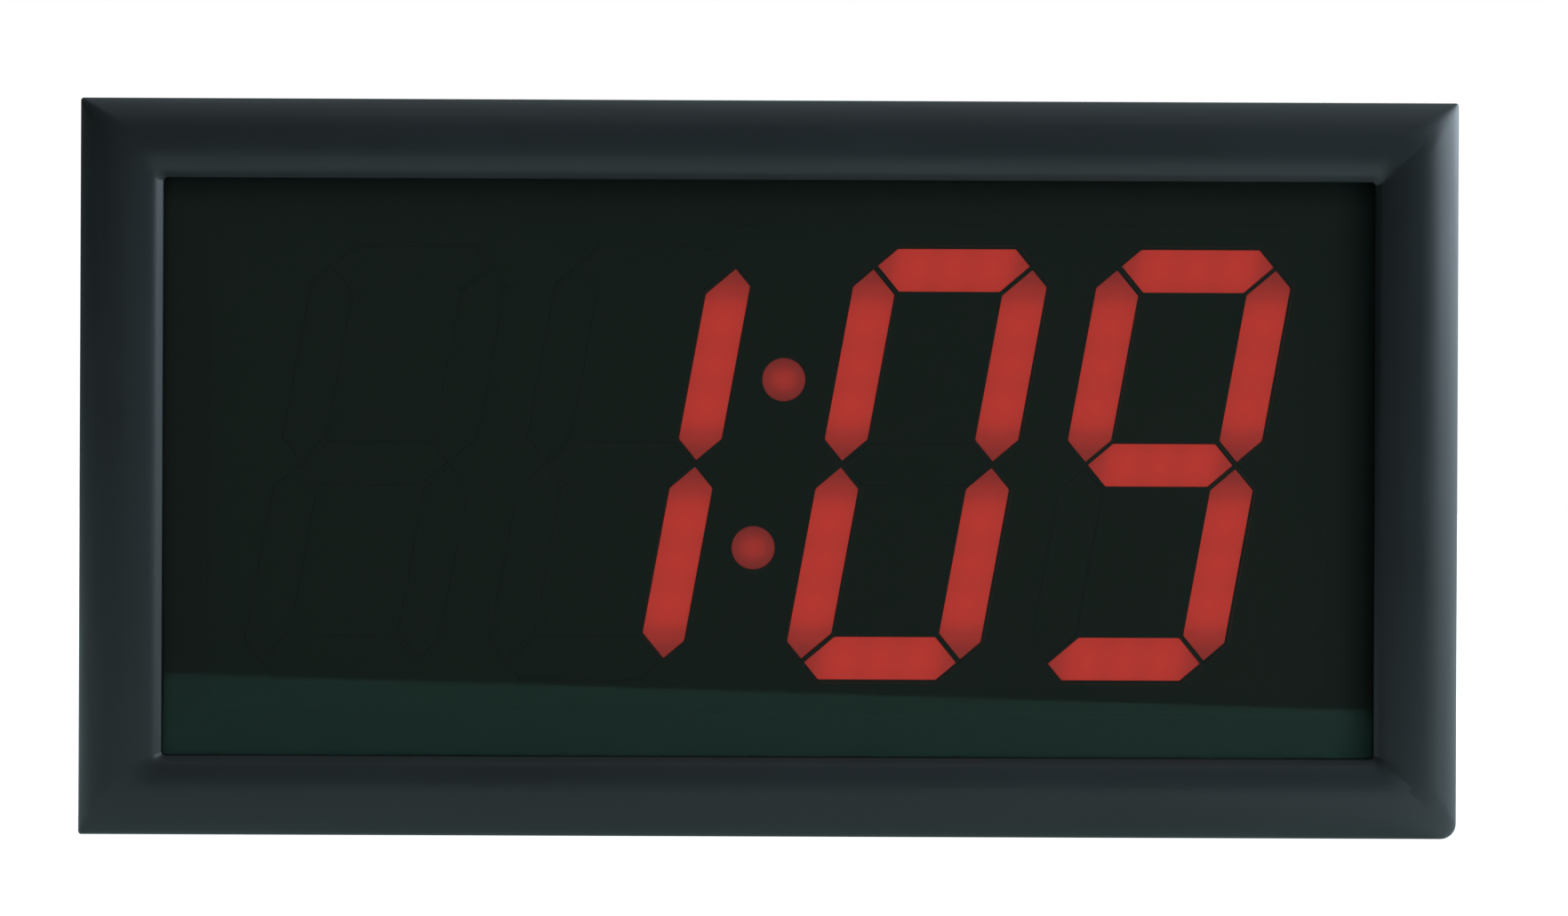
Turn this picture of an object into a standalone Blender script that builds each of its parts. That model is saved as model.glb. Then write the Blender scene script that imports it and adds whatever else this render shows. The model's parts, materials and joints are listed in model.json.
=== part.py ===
"""Gym round timer: a four-digit LED wall and shelf timer in a moulded picture-frame bezel.

The timer is seen from the front along +Y, with +X to its right and +Z up. The origin is at the
bottom middle of its outer box. Run with: blender --background --python part.py
"""

import math

import bmesh
import bpy
from mathutils import Matrix, Vector

MM = 0.001

# Driving dimensions of the whole timer.
FRAME_WIDTH = 323.0 * MM
FRAME_HEIGHT = 172.5 * MM
DEPTH = 56.0 * MM
OPENING_WIDTH = 282.14 * MM
OPENING_HEIGHT = 134.4 * MM
GAP = 0.3 * MM  # between pieces that touch in the real timer

# Bezel section. "out" runs from the opening's edge outwards and is full size across the sides, and
# squeezed a little across the top and bottom bands. "depth" runs back from the crown.
SIDE_BAND = (FRAME_WIDTH - OPENING_WIDTH) / 2
TOP_BAND = (FRAME_HEIGHT - OPENING_HEIGHT) / 2
SQUEEZE = TOP_BAND / SIDE_BAND
CROWN_OUT = 7.93 * MM
INNER_SLOPE_RADIUS = 9.8 * MM
BEAD_RADIUS = 1.2 * MM
DOME_DROP = 7.5 * MM
BEZEL_WALL = 2.4 * MM
BEZEL_DEPTH = 24.0 * MM
LIP_DEPTH = 4.6 * MM
REBATE_OUT = 8.53 * MM
REBATE_WALL = 2.0 * MM
REBATE_DEPTH = 14.0 * MM
CORNER_RADIUS = 1.4 * MM
CORNER_STEPS = 2

# Layers behind the lip, as depths from the crown.
LENS_THICKNESS = 2.5 * MM
LENS_MARGIN = 8.13 * MM
LENS_FRONT = LIP_DEPTH + GAP
GASKET_FRONT = LENS_FRONT + LENS_THICKNESS + GAP
GASKET_BACK = REBATE_DEPTH
GASKET_OPENING = (264.0 * MM, 115.0 * MM)
MASK_FRONT = REBATE_DEPTH + GAP
MASK_THICKNESS = 2.0 * MM
WEB_FRONT = MASK_FRONT + MASK_THICKNESS + GAP
WEB_THICKNESS = 1.0 * MM
REFLECTOR_FRONT = WEB_FRONT + WEB_THICKNESS + GAP
REFLECTOR_THICKNESS = 7.0 * MM
BOARD_THICKNESS = 1.6 * MM
BOARD_FRONT = REFLECTOR_FRONT + REFLECTOR_THICKNESS + GAP
BOARD_SIZE = (276.0 * MM, 116.0 * MM)

# Seven-segment digits: a 4 inch character on a slanted skeleton.
DIGIT_HALF_WIDTH = 17.97 * MM
DIGIT_HALF_HEIGHT = 46.35 * MM
SEGMENT_THICKNESS = 10.35 * MM
SEGMENT_GAP = 1.15 * MM
CORNER_CUT = 8.95 * MM
SLANT = 0.1825
INNER_DIGIT_X = 35.25 * MM
DIGIT_PITCH = 57.85 * MM
OUTER_DIGIT_X = INNER_DIGIT_X + DIGIT_PITCH
DIGIT_CENTRES = (-OUTER_DIGIT_X, -INNER_DIGIT_X, INNER_DIGIT_X, OUTER_DIGIT_X)
DIGIT_RISE = 1.1 * MM
COLON_RADIUS = 5.2 * MM
COLON_RISE = 20.0 * MM
WEB_HALF = (25.0 * MM, 52.5 * MM)
COLON_WEB_HALF = (8.5 * MM, 30.0 * MM)
APERTURE_CLEARANCE = 0.3 * MM
LED_SIZE = 3.0 * MM
LED_HEIGHT = 1.0 * MM
LED_SPREAD = (8.0 * MM, 10.0 * MM)  # between LEDs in a level and in an upright segment

# Rear case: a tray that slides inside the bezel's side wall and stands inset from its outline.
CASE_INSET = 2.8 * MM
CASE_WALL = 2.0 * MM
CASE_FRONT = MASK_FRONT + MASK_THICKNESS + GAP
CASE_BACK = DEPTH
CASE_HALF_X = FRAME_WIDTH / 2 - CASE_INSET
CASE_HALF_Z = FRAME_HEIGHT / 2 - CASE_INSET
CASE_EDGE = 1.0 * MM
SIDE_CENTRE = 40.0 * MM  # depth of the row of controls along the side wall

# Screws: radii of head, shank and holes.
POST_INSET = 7.1 * MM
POST_RADIUS = 4.2 * MM
BOSS_RADIUS = 2.9 * MM
BOSS_ROOT = 3.2 * MM
WELL_RADIUS = 3.1 * MM
WELL_FLOOR = 30.0 * MM
CLEARANCE_RADIUS = 1.8 * MM
PILOT_RADIUS = 1.5 * MM
PILOT_END = 8.0 * MM
EAR_X = OPENING_WIDTH / 2 + 12.93 * MM
EAR_Z = 35.0 * MM
EAR_RADIUS = 2.3 * MM
STANDOFF = (131.5 * MM, 50.0 * MM)
STANDOFF_RADIUS = 2.5 * MM
SMALL_PILOT = 1.0 * MM

# Controls on the right side wall, as heights from the middle.
START_Z = 56.0 * MM
RESET_Z = 38.0 * MM
ROUND_Z = 19.0 * MM
REST_Z = 0.0
VOLUME_Z = -24.0 * MM
POWER_Z = -54.0 * MM
WALL_OUT = CASE_HALF_X
WALL_IN = CASE_HALF_X - CASE_WALL
CONTROL_TIP = FRAME_WIDTH / 2 - 0.5 * MM
CONTROL_BOARD_X = 137.0 * MM
CONTROL_BOARD_TOP = CONTROL_BOARD_X + BOARD_THICKNESS
SWITCH_TOP = CONTROL_BOARD_TOP + GAP + 5.5 * MM
STEM_RADIUS = 1.6 * MM
BUTTON_RADIUS = 4.2 * MM
BUTTON_HOLE = 4.6 * MM
SLIDER_TRAVEL = 4.0 * MM
WHEEL_RADIUS = 10.0 * MM
WHEEL_X = CONTROL_TIP - WHEEL_RADIUS
ROCKER_X = 155.0 * MM
ROCKER_TILT = math.radians(9.0)

# Back of the case.
KEYHOLE_X = 100.0 * MM
KEYHOLE_Z = 38.0 * MM
KEYHOLE_HEAD = 4.5 * MM
KEYHOLE_SLOT = 2.5 * MM
KEYHOLE_RISE = 9.0 * MM
SPEAKER = (-70.0 * MM, -20.0 * MM)
SPEAKER_RADIUS = 24.8 * MM
MAIN_BOARD = (30.0 * MM, -10.0 * MM)
MAIN_BOARD_SIZE = (100.0 * MM, 70.0 * MM)
MAIN_BOARD_FRONT = 40.0 * MM
JACK_Z = -54.0 * MM
FOOT_X = 120.0 * MM

# Headers, the ribbon cable between two of them, and the side board's edges.
HEADER_HEIGHT = 4.0 * MM
RIBBON_X = 40.0 * MM
DISPLAY_HEADER_Z = -38.0 * MM
MAIN_HEADER_Z = -22.0 * MM
CONTROL_FRONT = 30.0 * MM
CONTROL_BACK = 53.0 * MM

COLOURS = {
    "black_abs": ((0.017, 0.020, 0.022), 0.45, 0.0),
    "smoked_acrylic": ((0.010, 0.022, 0.015), 0.06, 0.0),
    "black_foam": ((0.008, 0.009, 0.010), 0.95, 0.0),
    "mask_green": ((0.012, 0.022, 0.015), 0.60, 0.0),
    "diffuser_red": ((0.450, 0.040, 0.030), 0.35, 0.0),
    "white_abs": ((0.800, 0.800, 0.780), 0.50, 0.0),
    "board_green": ((0.020, 0.130, 0.060), 0.40, 0.0),
    "black_nylon": ((0.020, 0.020, 0.022), 0.55, 0.0),
    "grey_abs": ((0.150, 0.155, 0.160), 0.50, 0.0),
    "button_red": ((0.450, 0.020, 0.015), 0.45, 0.0),
    "zinc_steel": ((0.550, 0.550, 0.560), 0.30, 1.0),
    "speaker_paper": ((0.030, 0.030, 0.032), 0.90, 0.0),
    "ferrite": ((0.060, 0.060, 0.062), 0.60, 0.0),
    "black_rubber": ((0.015, 0.015, 0.015), 0.85, 0.0),
    "lead_black": ((0.020, 0.020, 0.020), 0.60, 0.0),
    "ribbon_grey": ((0.420, 0.420, 0.430), 0.60, 0.0),
}

for old in list(bpy.data.objects):
    bpy.data.objects.remove(old)

PARTS = bpy.data.collections.new("gym_round_timer")
CUTTERS = bpy.data.collections.new("cutters")
bpy.context.scene.collection.children.link(PARTS)
bpy.context.scene.collection.children.link(CUTTERS)


# --- helpers -------------------------------------------------------------------------------------


def at(x, depth, z):
    """A point from the middle of the frame, with depth measured back from the bezel's crown."""
    return Vector((x, depth - DEPTH / 2, z + FRAME_HEIGHT / 2))


def material(name):
    """The named material, made on first use from COLOURS."""
    found = bpy.data.materials.get(name)
    if found:
        return found
    colour, roughness, metallic = COLOURS[name]
    made = bpy.data.materials.new(name)
    made.use_nodes = True
    shader = made.node_tree.nodes["Principled BSDF"]
    shader.inputs["Base Color"].default_value = (*colour, 1.0)
    shader.inputs["Roughness"].default_value = roughness
    shader.inputs["Metallic"].default_value = metallic
    return made


def place(name, mesh, finish, location=(0, 0, 0), smooth=False):
    """Links a mesh as a part, or as a hidden helper where finish is None."""
    obj = bpy.data.objects.new(name, mesh)
    obj.location = location
    if finish is None:
        CUTTERS.objects.link(obj)
        obj.hide_render = True
        obj.display_type = "WIRE"
        return obj
    PARTS.objects.link(obj)
    mesh.materials.clear()
    mesh.materials.append(material(finish))
    if smooth:
        mesh.shade_smooth()
        mesh.set_sharp_from_angle(angle=math.radians(35))
    return obj


def mesh_of(name, bm):
    """Turns a bmesh into a mesh with its faces pointing out, and frees it."""
    bmesh.ops.recalc_face_normals(bm, faces=bm.faces)
    mesh = bpy.data.meshes.new(name)
    bm.to_mesh(mesh)
    bm.free()
    return mesh


def box(name, low, high, finish):
    """A box between two corners, each given as (x, depth, z) from the middle of the frame."""
    low, high = at(*low), at(*high)
    bm = bmesh.new()
    bmesh.ops.create_cube(bm, size=1)
    bmesh.ops.scale(bm, vec=high - low, verts=bm.verts)
    return place(name, mesh_of(name, bm), finish, (low + high) / 2)


def rod(name, start, end, radius, finish, sides=16, end_radius=None):
    """A cylinder or cone from start to end, points as (x, depth, z)."""
    start, end = at(*start), at(*end)
    along = end - start
    bm = bmesh.new()
    bmesh.ops.create_cone(
        bm,
        cap_ends=True,
        segments=sides,
        radius1=radius,
        radius2=radius if end_radius is None else end_radius,
        depth=along.length,
    )
    obj = place(name, mesh_of(name, bm), finish, (start + end) / 2, smooth=True)
    obj.rotation_mode = "QUATERNION"
    obj.rotation_quaternion = along.to_track_quat("Z", "Y")
    return obj


def turned(name, base, direction, profile, finish, sides=20, closed=False):
    """A profile of (radius, height) points turned by a Screw modifier about direction from base.

    The profile runs down its outer side, from the top to the bottom. A closed one is a ring.
    """
    mesh = bpy.data.meshes.new(name)
    edges = [(i, i + 1) for i in range(len(profile) - 1)]
    if closed:
        edges.append((len(profile) - 1, 0))
    mesh.from_pydata([(r, 0, h) for r, h in profile], edges, [])
    obj = place(name, mesh, finish, at(*base))
    obj.rotation_mode = "QUATERNION"
    obj.rotation_quaternion = Vector(direction).to_track_quat("Z", "Y")
    screw = obj.modifiers.new("turn", "SCREW")
    screw.steps = screw.render_steps = sides
    screw.use_merge_vertices = True
    screw.merge_threshold = 0.00001
    screw.use_smooth_shade = False
    return obj


def outline_mesh(name, outlines, thickness):
    """A plate from closed outlines in its own XY plane: the first is its edge, the rest holes."""
    curve = bpy.data.curves.new(name, "CURVE")
    curve.dimensions = "2D"
    curve.fill_mode = "BOTH"
    curve.extrude = thickness / 2
    for points in outlines:
        spline = curve.splines.new("POLY")
        spline.points.add(len(points) - 1)
        for point, (x, y) in zip(spline.points, points):
            point.co = (x, y, 0, 1)
        spline.use_cyclic_u = True
    guide = bpy.data.objects.new(name, curve)
    bpy.context.scene.collection.objects.link(guide)
    bpy.context.view_layer.update()
    evaluated = guide.evaluated_get(bpy.context.evaluated_depsgraph_get())
    mesh = bpy.data.meshes.new_from_object(evaluated)
    bpy.data.objects.remove(guide)
    bm = bmesh.new()
    bm.from_mesh(mesh)
    bmesh.ops.remove_doubles(bm, verts=bm.verts, dist=0.000002)
    bpy.data.meshes.remove(mesh)
    return mesh_of(name, bm)


def front_plate(name, outlines, front, thickness, finish, centre=(0.0, 0.0)):
    """A plate facing the viewer, with its outlines in (x, z) and its front face at a depth."""
    middle = at(centre[0], front + thickness / 2, centre[1])
    obj = place(name, outline_mesh(name, outlines, thickness), finish, middle)
    obj.rotation_euler = (math.pi / 2, 0, 0)
    return obj


def side_plate(name, outlines, low_x, high_x, finish, centre=(0.0, 0.0)):
    """A prism along X, with its outlines in (depth, z) about a centre of (depth, z)."""
    middle = at((low_x + high_x) / 2, *centre)
    obj = place(name, outline_mesh(name, outlines, high_x - low_x), finish, middle)
    obj.rotation_mode = "QUATERNION"
    axes = Matrix(((0, 0, 1), (1, 0, 0), (0, 1, 0)))
    obj.rotation_quaternion = axes.to_quaternion()
    return obj


def boolean(obj, operation, others):
    """Joins others to obj, or cuts them from it, with one Boolean modifier."""
    group = bpy.data.collections.new(f"{obj.name}_{operation.lower()}")
    CUTTERS.children.link(group)
    for other in others:
        for holder in list(other.users_collection):
            holder.objects.unlink(other)
        group.objects.link(other)
        other.hide_render = True
    modifier = obj.modifiers.new(operation.lower(), "BOOLEAN")
    modifier.operation = operation
    modifier.operand_type = "COLLECTION"
    modifier.collection = group
    modifier.solver = "EXACT"
    return obj


def rectangle(half_x, half_z, radius=0.0, steps=CORNER_STEPS):
    """Points round a rectangle with round corners, the same number for every radius."""
    points = []
    for quarter, (sx, sz) in enumerate(((1, 1), (-1, 1), (-1, -1), (1, -1))):
        for step in range(steps + 1):
            angle = math.pi / 2 * (quarter + step / steps)
            x = sx * (half_x - radius) + radius * math.cos(angle)
            z = sz * (half_z - radius) + radius * math.sin(angle)
            points.append((x, z))
    return points


def circle(radius, sides=20, centre=(0.0, 0.0)):
    """Points round a circle."""
    turn = 2 * math.pi / sides
    return [
        (centre[0] + radius * math.cos(k * turn), centre[1] + radius * math.sin(k * turn))
        for k in range(sides)
    ]


def slot(half_length, radius, centre=(0.0, 0.0), steps=2):
    """Points round an upright slot with round ends."""
    points = []
    for end in (1, -1):
        for step in range(steps + 1):
            angle = math.pi * step / steps + (0 if end > 0 else math.pi)
            x = centre[0] + radius * math.cos(angle)
            points.append((x, centre[1] + end * half_length + radius * math.sin(angle)))
    return points


def arc(centre, radius, start, end, steps):
    """Points along an arc, with angles in degrees from the first axis towards the second."""
    return [
        (
            centre[0] + radius * math.cos(math.radians(start + (end - start) * k / steps)),
            centre[1] + radius * math.sin(math.radians(start + (end - start) * k / steps)),
        )
        for k in range(steps + 1)
    ]


def tube(name, points, radius, finish):
    """A lead along a smooth curve through a few points given as (x, depth, z)."""
    curve = bpy.data.curves.new(name, "CURVE")
    curve.dimensions = "3D"
    curve.bevel_depth = radius
    curve.bevel_resolution = 1
    curve.use_fill_caps = True
    smooth = spaced_along([at(*p) for p in points], 4 * radius)
    spline = curve.splines.new("POLY")
    spline.points.add(len(smooth) - 1)
    for point, position in zip(spline.points, smooth):
        point.co = (*position, 1)
    obj = bpy.data.objects.new(name, curve)
    PARTS.objects.link(obj)
    curve.materials.append(material(finish))
    return obj


def spaced_along(route, spacing):
    """Points on a Catmull-Rom curve through the route's points, about a spacing apart."""
    padded = [route[0] * 2 - route[1], *route, route[-1] * 2 - route[-2]]
    points = [route[0]]
    for a, b, c, d in zip(padded, padded[1:], padded[2:], padded[3:]):
        steps = max(2, round((c - b).length / spacing))
        for k in range(1, steps + 1):
            t = k / steps
            cubic = -a + 3 * b - 3 * c + d
            square = 2 * a - 5 * b + 4 * c - d
            points.append((2 * b + (c - a) * t + square * t * t + cubic * t**3) / 2)
    return points


# --- digits --------------------------------------------------------------------------------------


def segment_outlines(grow=0.0):
    """The seven slanted hexagons a to g about a digit's middle, each edge moved out by grow."""
    w, h = DIGIT_HALF_WIDTH, DIGIT_HALF_HEIGHT
    e = SEGMENT_THICKNESS / 2 + grow
    k = (SEGMENT_GAP - 2 * grow) / math.sqrt(2)
    cut = CORNER_CUT + (2 - math.sqrt(2)) * grow
    tip = e - cut / 2
    top = [
        (-(w + tip - k / 2), h + tip + k / 2),
        (-(w + e - cut), h + e),
        (w + e - cut, h + e),
        (w + tip - k / 2, h + tip + k / 2),
        (w - e - k, h - e),
        (-(w - e - k), h - e),
    ]
    right = [
        (w - e, h - e - k),
        (w + tip + k / 2, h + tip - k / 2),
        (w + e, h + e - cut),
        (w + e, e + k),
        (w, k),
        (w - e, e + k),
    ]
    inner = w - k - e
    middle = [(-(w - k), 0), (-inner, e), (inner, e), (w - k, 0), (inner, -e), (-inner, -e)]
    shapes = {
        "a": top,
        "b": right,
        "c": [(x, -y) for x, y in reversed(right)],
        "d": [(x, -y) for x, y in reversed(top)],
        "e": [(-x, -y) for x, y in right],
        "f": [(-x, y) for x, y in reversed(right)],
        "g": middle,
    }
    return {name: slanted(points) for name, points in shapes.items()}


def slanted(points):
    return [(x + SLANT * y, y) for x, y in points]


def colon_outlines(radius):
    """The two dots of the colon, about the display's middle."""
    return [circle(radius, centre=(s * SLANT * COLON_RISE, s * COLON_RISE)) for s in (1, -1)]


def moved(points, x, z):
    return [(a + x, b + z) for a, b in points]


def leaning_rectangle(half_x, half_z):
    corners = [(half_x, half_z), (-half_x, half_z), (-half_x, -half_z), (half_x, -half_z)]
    return slanted(corners)


def display_mask():
    """The face plate: apertures for every segment, four ears over the bezel's screw bosses."""
    half_x = OPENING_WIDTH / 2 + LENS_MARGIN
    half_z = OPENING_HEIGHT / 2 + LENS_MARGIN * SQUEEZE
    outlines = [rectangle(half_x, half_z, 2 * MM)]
    for x in DIGIT_CENTRES:
        for points in segment_outlines(APERTURE_CLEARANCE).values():
            outlines.append(moved(points, x, DIGIT_RISE))
    for points in colon_outlines(COLON_RADIUS + APERTURE_CLEARANCE):
        outlines.append(moved(points, 0, DIGIT_RISE))
    mask = front_plate("display_mask", outlines, MASK_FRONT, MASK_THICKNESS, "mask_green")
    back = MASK_FRONT + MASK_THICKNESS
    added, cutters = [], []
    for sx in (-1, 1):
        for sz in (-1, 1):
            inner, outer = sorted((sx * (half_x - MM), sx * (EAR_X + EAR_RADIUS)))
            z = sz * EAR_Z
            low = (inner, MASK_FRONT + 0.01 * MM, z - 4 * MM)
            high = (outer, back - 0.01 * MM, z + 4 * MM)
            added.append(box("ear", low, high, None))
            start = (sx * EAR_X, MASK_FRONT - MM, z)
            end = (sx * EAR_X, back + MM, z)
            cutters.append(rod("ear_hole", start, end, SMALL_PILOT + GAP, None, sides=10))
            x, z = sx * STANDOFF[0], sz * STANDOFF[1]
            root = (x, back - MM, z)
            face = (x, BOARD_FRONT - GAP, z)
            added.append(rod("standoff", root, face, STANDOFF_RADIUS, None, sides=12))
            start = (x, back + MM, z)
            end = (x, BOARD_FRONT + MM, z)
            cutters.append(rod("standoff_pilot", start, end, SMALL_PILOT + GAP, None, sides=8))
    boolean(mask, "UNION", added)
    boolean(mask, "DIFFERENCE", cutters)


def diffuser(name, x, outlines, web_half):
    """A translucent insert: raised segment lenses, standing on a thin web behind the mask."""
    web = [leaning_rectangle(*web_half)]
    centre = (x, DIGIT_RISE)
    insert = front_plate(name, web, WEB_FRONT, WEB_THICKNESS, "diffuser_red", centre)
    front = MASK_FRONT + GAP
    overlap = WEB_THICKNESS / 2
    height = WEB_FRONT + overlap - front
    lenses = front_plate(f"{name}_lenses", outlines, front, height, None, centre)
    boolean(insert, "UNION", [lenses])


def reflector(name, x, holes, web_half):
    """A white block with a light well behind each segment."""
    outlines = [leaning_rectangle(*web_half), *holes]
    front_plate(name, outlines, REFLECTOR_FRONT, REFLECTOR_THICKNESS, "white_abs", (x, DIGIT_RISE))


def led_places():
    """Where the LEDs stand, as (x, z) from the middle of the frame."""
    w, h = DIGIT_HALF_WIDTH, DIGIT_HALF_HEIGHT
    centres = [(0, h, 1, 0), (0, 0, 1, 0), (0, -h, 1, 0)]
    centres += [(sx * w, sz * h / 2, 0, 1) for sx in (-1, 1) for sz in (-1, 1)]
    places = [(s * SLANT * COLON_RISE, s * COLON_RISE + DIGIT_RISE) for s in (1, -1)]
    for digit in DIGIT_CENTRES:
        for x, z, along_x, along_z in centres:
            for k in (-1, 0, 1):
                px = x + k * LED_SPREAD[0] * along_x
                pz = z + k * LED_SPREAD[1] * along_z
                places.append((digit + px + SLANT * pz, pz + DIGIT_RISE))
    return places


def display_board():
    """The LED board, with its LEDs in front and a ribbon header behind."""
    holes = [
        circle(SMALL_PILOT + 2 * GAP, 10, (sx * STANDOFF[0], sz * STANDOFF[1]))
        for sx in (-1, 1)
        for sz in (-1, 1)
    ]
    outline = rectangle(BOARD_SIZE[0] / 2, BOARD_SIZE[1] / 2, MM)
    board = front_plate(
        "display_board", [outline, *holes], BOARD_FRONT, BOARD_THICKNESS, "board_green"
    )
    half = LED_SIZE / 2
    sink = 0.5 * MM
    added = []
    for x, z in led_places():
        low = (x - half, BOARD_FRONT - LED_HEIGHT, z - half)
        added.append(box("led", low, (x + half, BOARD_FRONT + sink, z + half), None))
    back = BOARD_FRONT + BOARD_THICKNESS
    low = (RIBBON_X - 11 * MM, back - sink, DISPLAY_HEADER_Z - 2.5 * MM)
    high = (RIBBON_X + 11 * MM, back + HEADER_HEIGHT, DISPLAY_HEADER_Z + 2.5 * MM)
    added.append(box("header", low, high, None))
    boolean(board, "UNION", added)


# --- bezel and window ----------------------------------------------------------------------------


def bezel_section():
    """The bezel's closed section as (out, depth): face, side wall, hollow channel and rebate."""
    slope_sine = (CROWN_OUT - BEAD_RADIUS) / (INNER_SLOPE_RADIUS - BEAD_RADIUS)
    slope = math.degrees(math.asin(slope_sine))
    slope_end = (
        CROWN_OUT - INNER_SLOPE_RADIUS * slope_sine,
        INNER_SLOPE_RADIUS * (1 - math.cos(math.radians(slope))),
    )
    bead = (
        slope_end[0] + BEAD_RADIUS * slope_sine,
        slope_end[1] + BEAD_RADIUS * math.cos(math.radians(slope)),
    )
    run = SIDE_BAND - CROWN_OUT
    dome_radius = (run**2 + DOME_DROP**2) / (2 * DOME_DROP)
    dome_angle = math.degrees(math.asin(run / dome_radius))
    face = arc(bead, BEAD_RADIUS, 180, 270 - slope, 3)
    face += arc((CROWN_OUT, INNER_SLOPE_RADIUS), INNER_SLOPE_RADIUS, 270 - slope, 270, 4)[1:]
    face += arc((CROWN_OUT, dome_radius), dome_radius, 270, 270 + dome_angle, 7)[1:]
    side = SIDE_BAND - BEZEL_WALL
    wall = side - CROWN_OUT
    under = dome_radius - BEZEL_WALL
    under_angle = math.degrees(math.asin(wall / under))
    channel_start = REBATE_OUT + REBATE_WALL
    start_angle = math.degrees(math.asin((channel_start - CROWN_OUT) / under))
    ceiling = arc((CROWN_OUT, dome_radius), under, 270 + under_angle, 270 + start_angle, 3)
    return [
        *face,
        (SIDE_BAND, BEZEL_DEPTH),
        (side, BEZEL_DEPTH),
        *ceiling,
        (channel_start, REBATE_DEPTH),
        (REBATE_OUT, REBATE_DEPTH),
        (REBATE_OUT, LIP_DEPTH),
        (0.0, LIP_DEPTH),
    ]


def swept_frame(name, section, finish):
    """A section carried round the opening with mitred corners, as a loft of nested rectangles."""
    bm = bmesh.new()
    loops = []
    for out, depth in section:
        outline = rectangle(
            OPENING_WIDTH / 2 + out, OPENING_HEIGHT / 2 + out * SQUEEZE, CORNER_RADIUS
        )
        loops.append([bm.verts.new(at(x, depth, z)) for x, z in outline])
    for first, second in zip(loops, loops[1:] + loops[:1]):
        for k in range(len(first)):
            bm.faces.new((first[k - 1], first[k], second[k], second[k - 1]))
    bmesh.ops.recalc_face_normals(bm, faces=bm.faces)
    return place(name, mesh_of(name, bm), finish, smooth=True)


def post_places():
    """The six case screws, as (x, z): the corners, and the middle of the top and bottom."""
    x = FRAME_WIDTH / 2 - POST_INSET
    z = FRAME_HEIGHT / 2 - POST_INSET
    return [(-x, z), (0.0, z), (x, z), (-x, -z), (0.0, -z), (x, -z)]


def front_bezel():
    """The one-piece moulded bezel, with screw bosses in its channel."""
    bezel = swept_frame("front_bezel", bezel_section(), "black_abs")
    added, cutters = [], []
    boss_end = CASE_FRONT - GAP
    for x, z in post_places():
        added.append(rod("boss", (x, BOSS_ROOT, z), (x, boss_end, z), BOSS_RADIUS, None, 14))
        start, end = (x, PILOT_END, z), (x, boss_end + MM, z)
        cutters.append(rod("pilot", start, end, PILOT_RADIUS, None, 10))
    for sx in (-1, 1):
        for sz in (-1, 1):
            x, z = sx * EAR_X, sz * EAR_Z
            start, end = (x, BOSS_ROOT, z), (x, REBATE_DEPTH, z)
            added.append(rod("ear_boss", start, end, EAR_RADIUS + 0.2 * MM, None, 14))
            start, end = (x, PILOT_END, z), (x, REBATE_DEPTH + MM, z)
            cutters.append(rod("ear_pilot", start, end, SMALL_PILOT + GAP, None, 10))
    boolean(bezel, "UNION", added)
    boolean(bezel, "DIFFERENCE", cutters)


def window():
    """The smoked window pressed against the lip, and the foam spacer behind it."""
    half_x = OPENING_WIDTH / 2 + LENS_MARGIN
    half_z = OPENING_HEIGHT / 2 + LENS_MARGIN * SQUEEZE
    outline = rectangle(half_x, half_z, 2 * MM)
    front_plate("window_lens", [outline], LENS_FRONT, LENS_THICKNESS, "smoked_acrylic")
    hole = rectangle(GASKET_OPENING[0] / 2, GASKET_OPENING[1] / 2, MM)
    thickness = GASKET_BACK - GASKET_FRONT
    front_plate("lens_gasket", [outline, hole], GASKET_FRONT, thickness, "black_foam")


# --- rear case -----------------------------------------------------------------------------------


def case_shell():
    """The tray's skin as an open box with rounded edges, thickened inwards."""
    low = at(-CASE_HALF_X, CASE_FRONT, -CASE_HALF_Z)
    high = at(CASE_HALF_X, CASE_BACK, CASE_HALF_Z)
    bm = bmesh.new()
    bmesh.ops.create_cube(bm, size=1)
    bmesh.ops.scale(bm, vec=high - low, verts=bm.verts)
    front = [f for f in bm.faces if f.normal.y < -0.5]
    bmesh.ops.delete(bm, geom=front, context="FACES_ONLY")
    edges = [e for e in bm.edges if not e.is_boundary]
    bmesh.ops.bevel(bm, geom=edges, offset=CASE_EDGE, segments=2, profile=0.5, affect="EDGES")
    mesh = bpy.data.meshes.new("rear_case")
    bm.to_mesh(mesh)
    bm.free()
    case = place("rear_case", mesh, "black_abs", (low + high) / 2, smooth=True)
    skin = case.modifiers.new("wall", "SOLIDIFY")
    skin.thickness = CASE_WALL
    skin.offset = -1
    skin.use_even_offset = True
    return case


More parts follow.
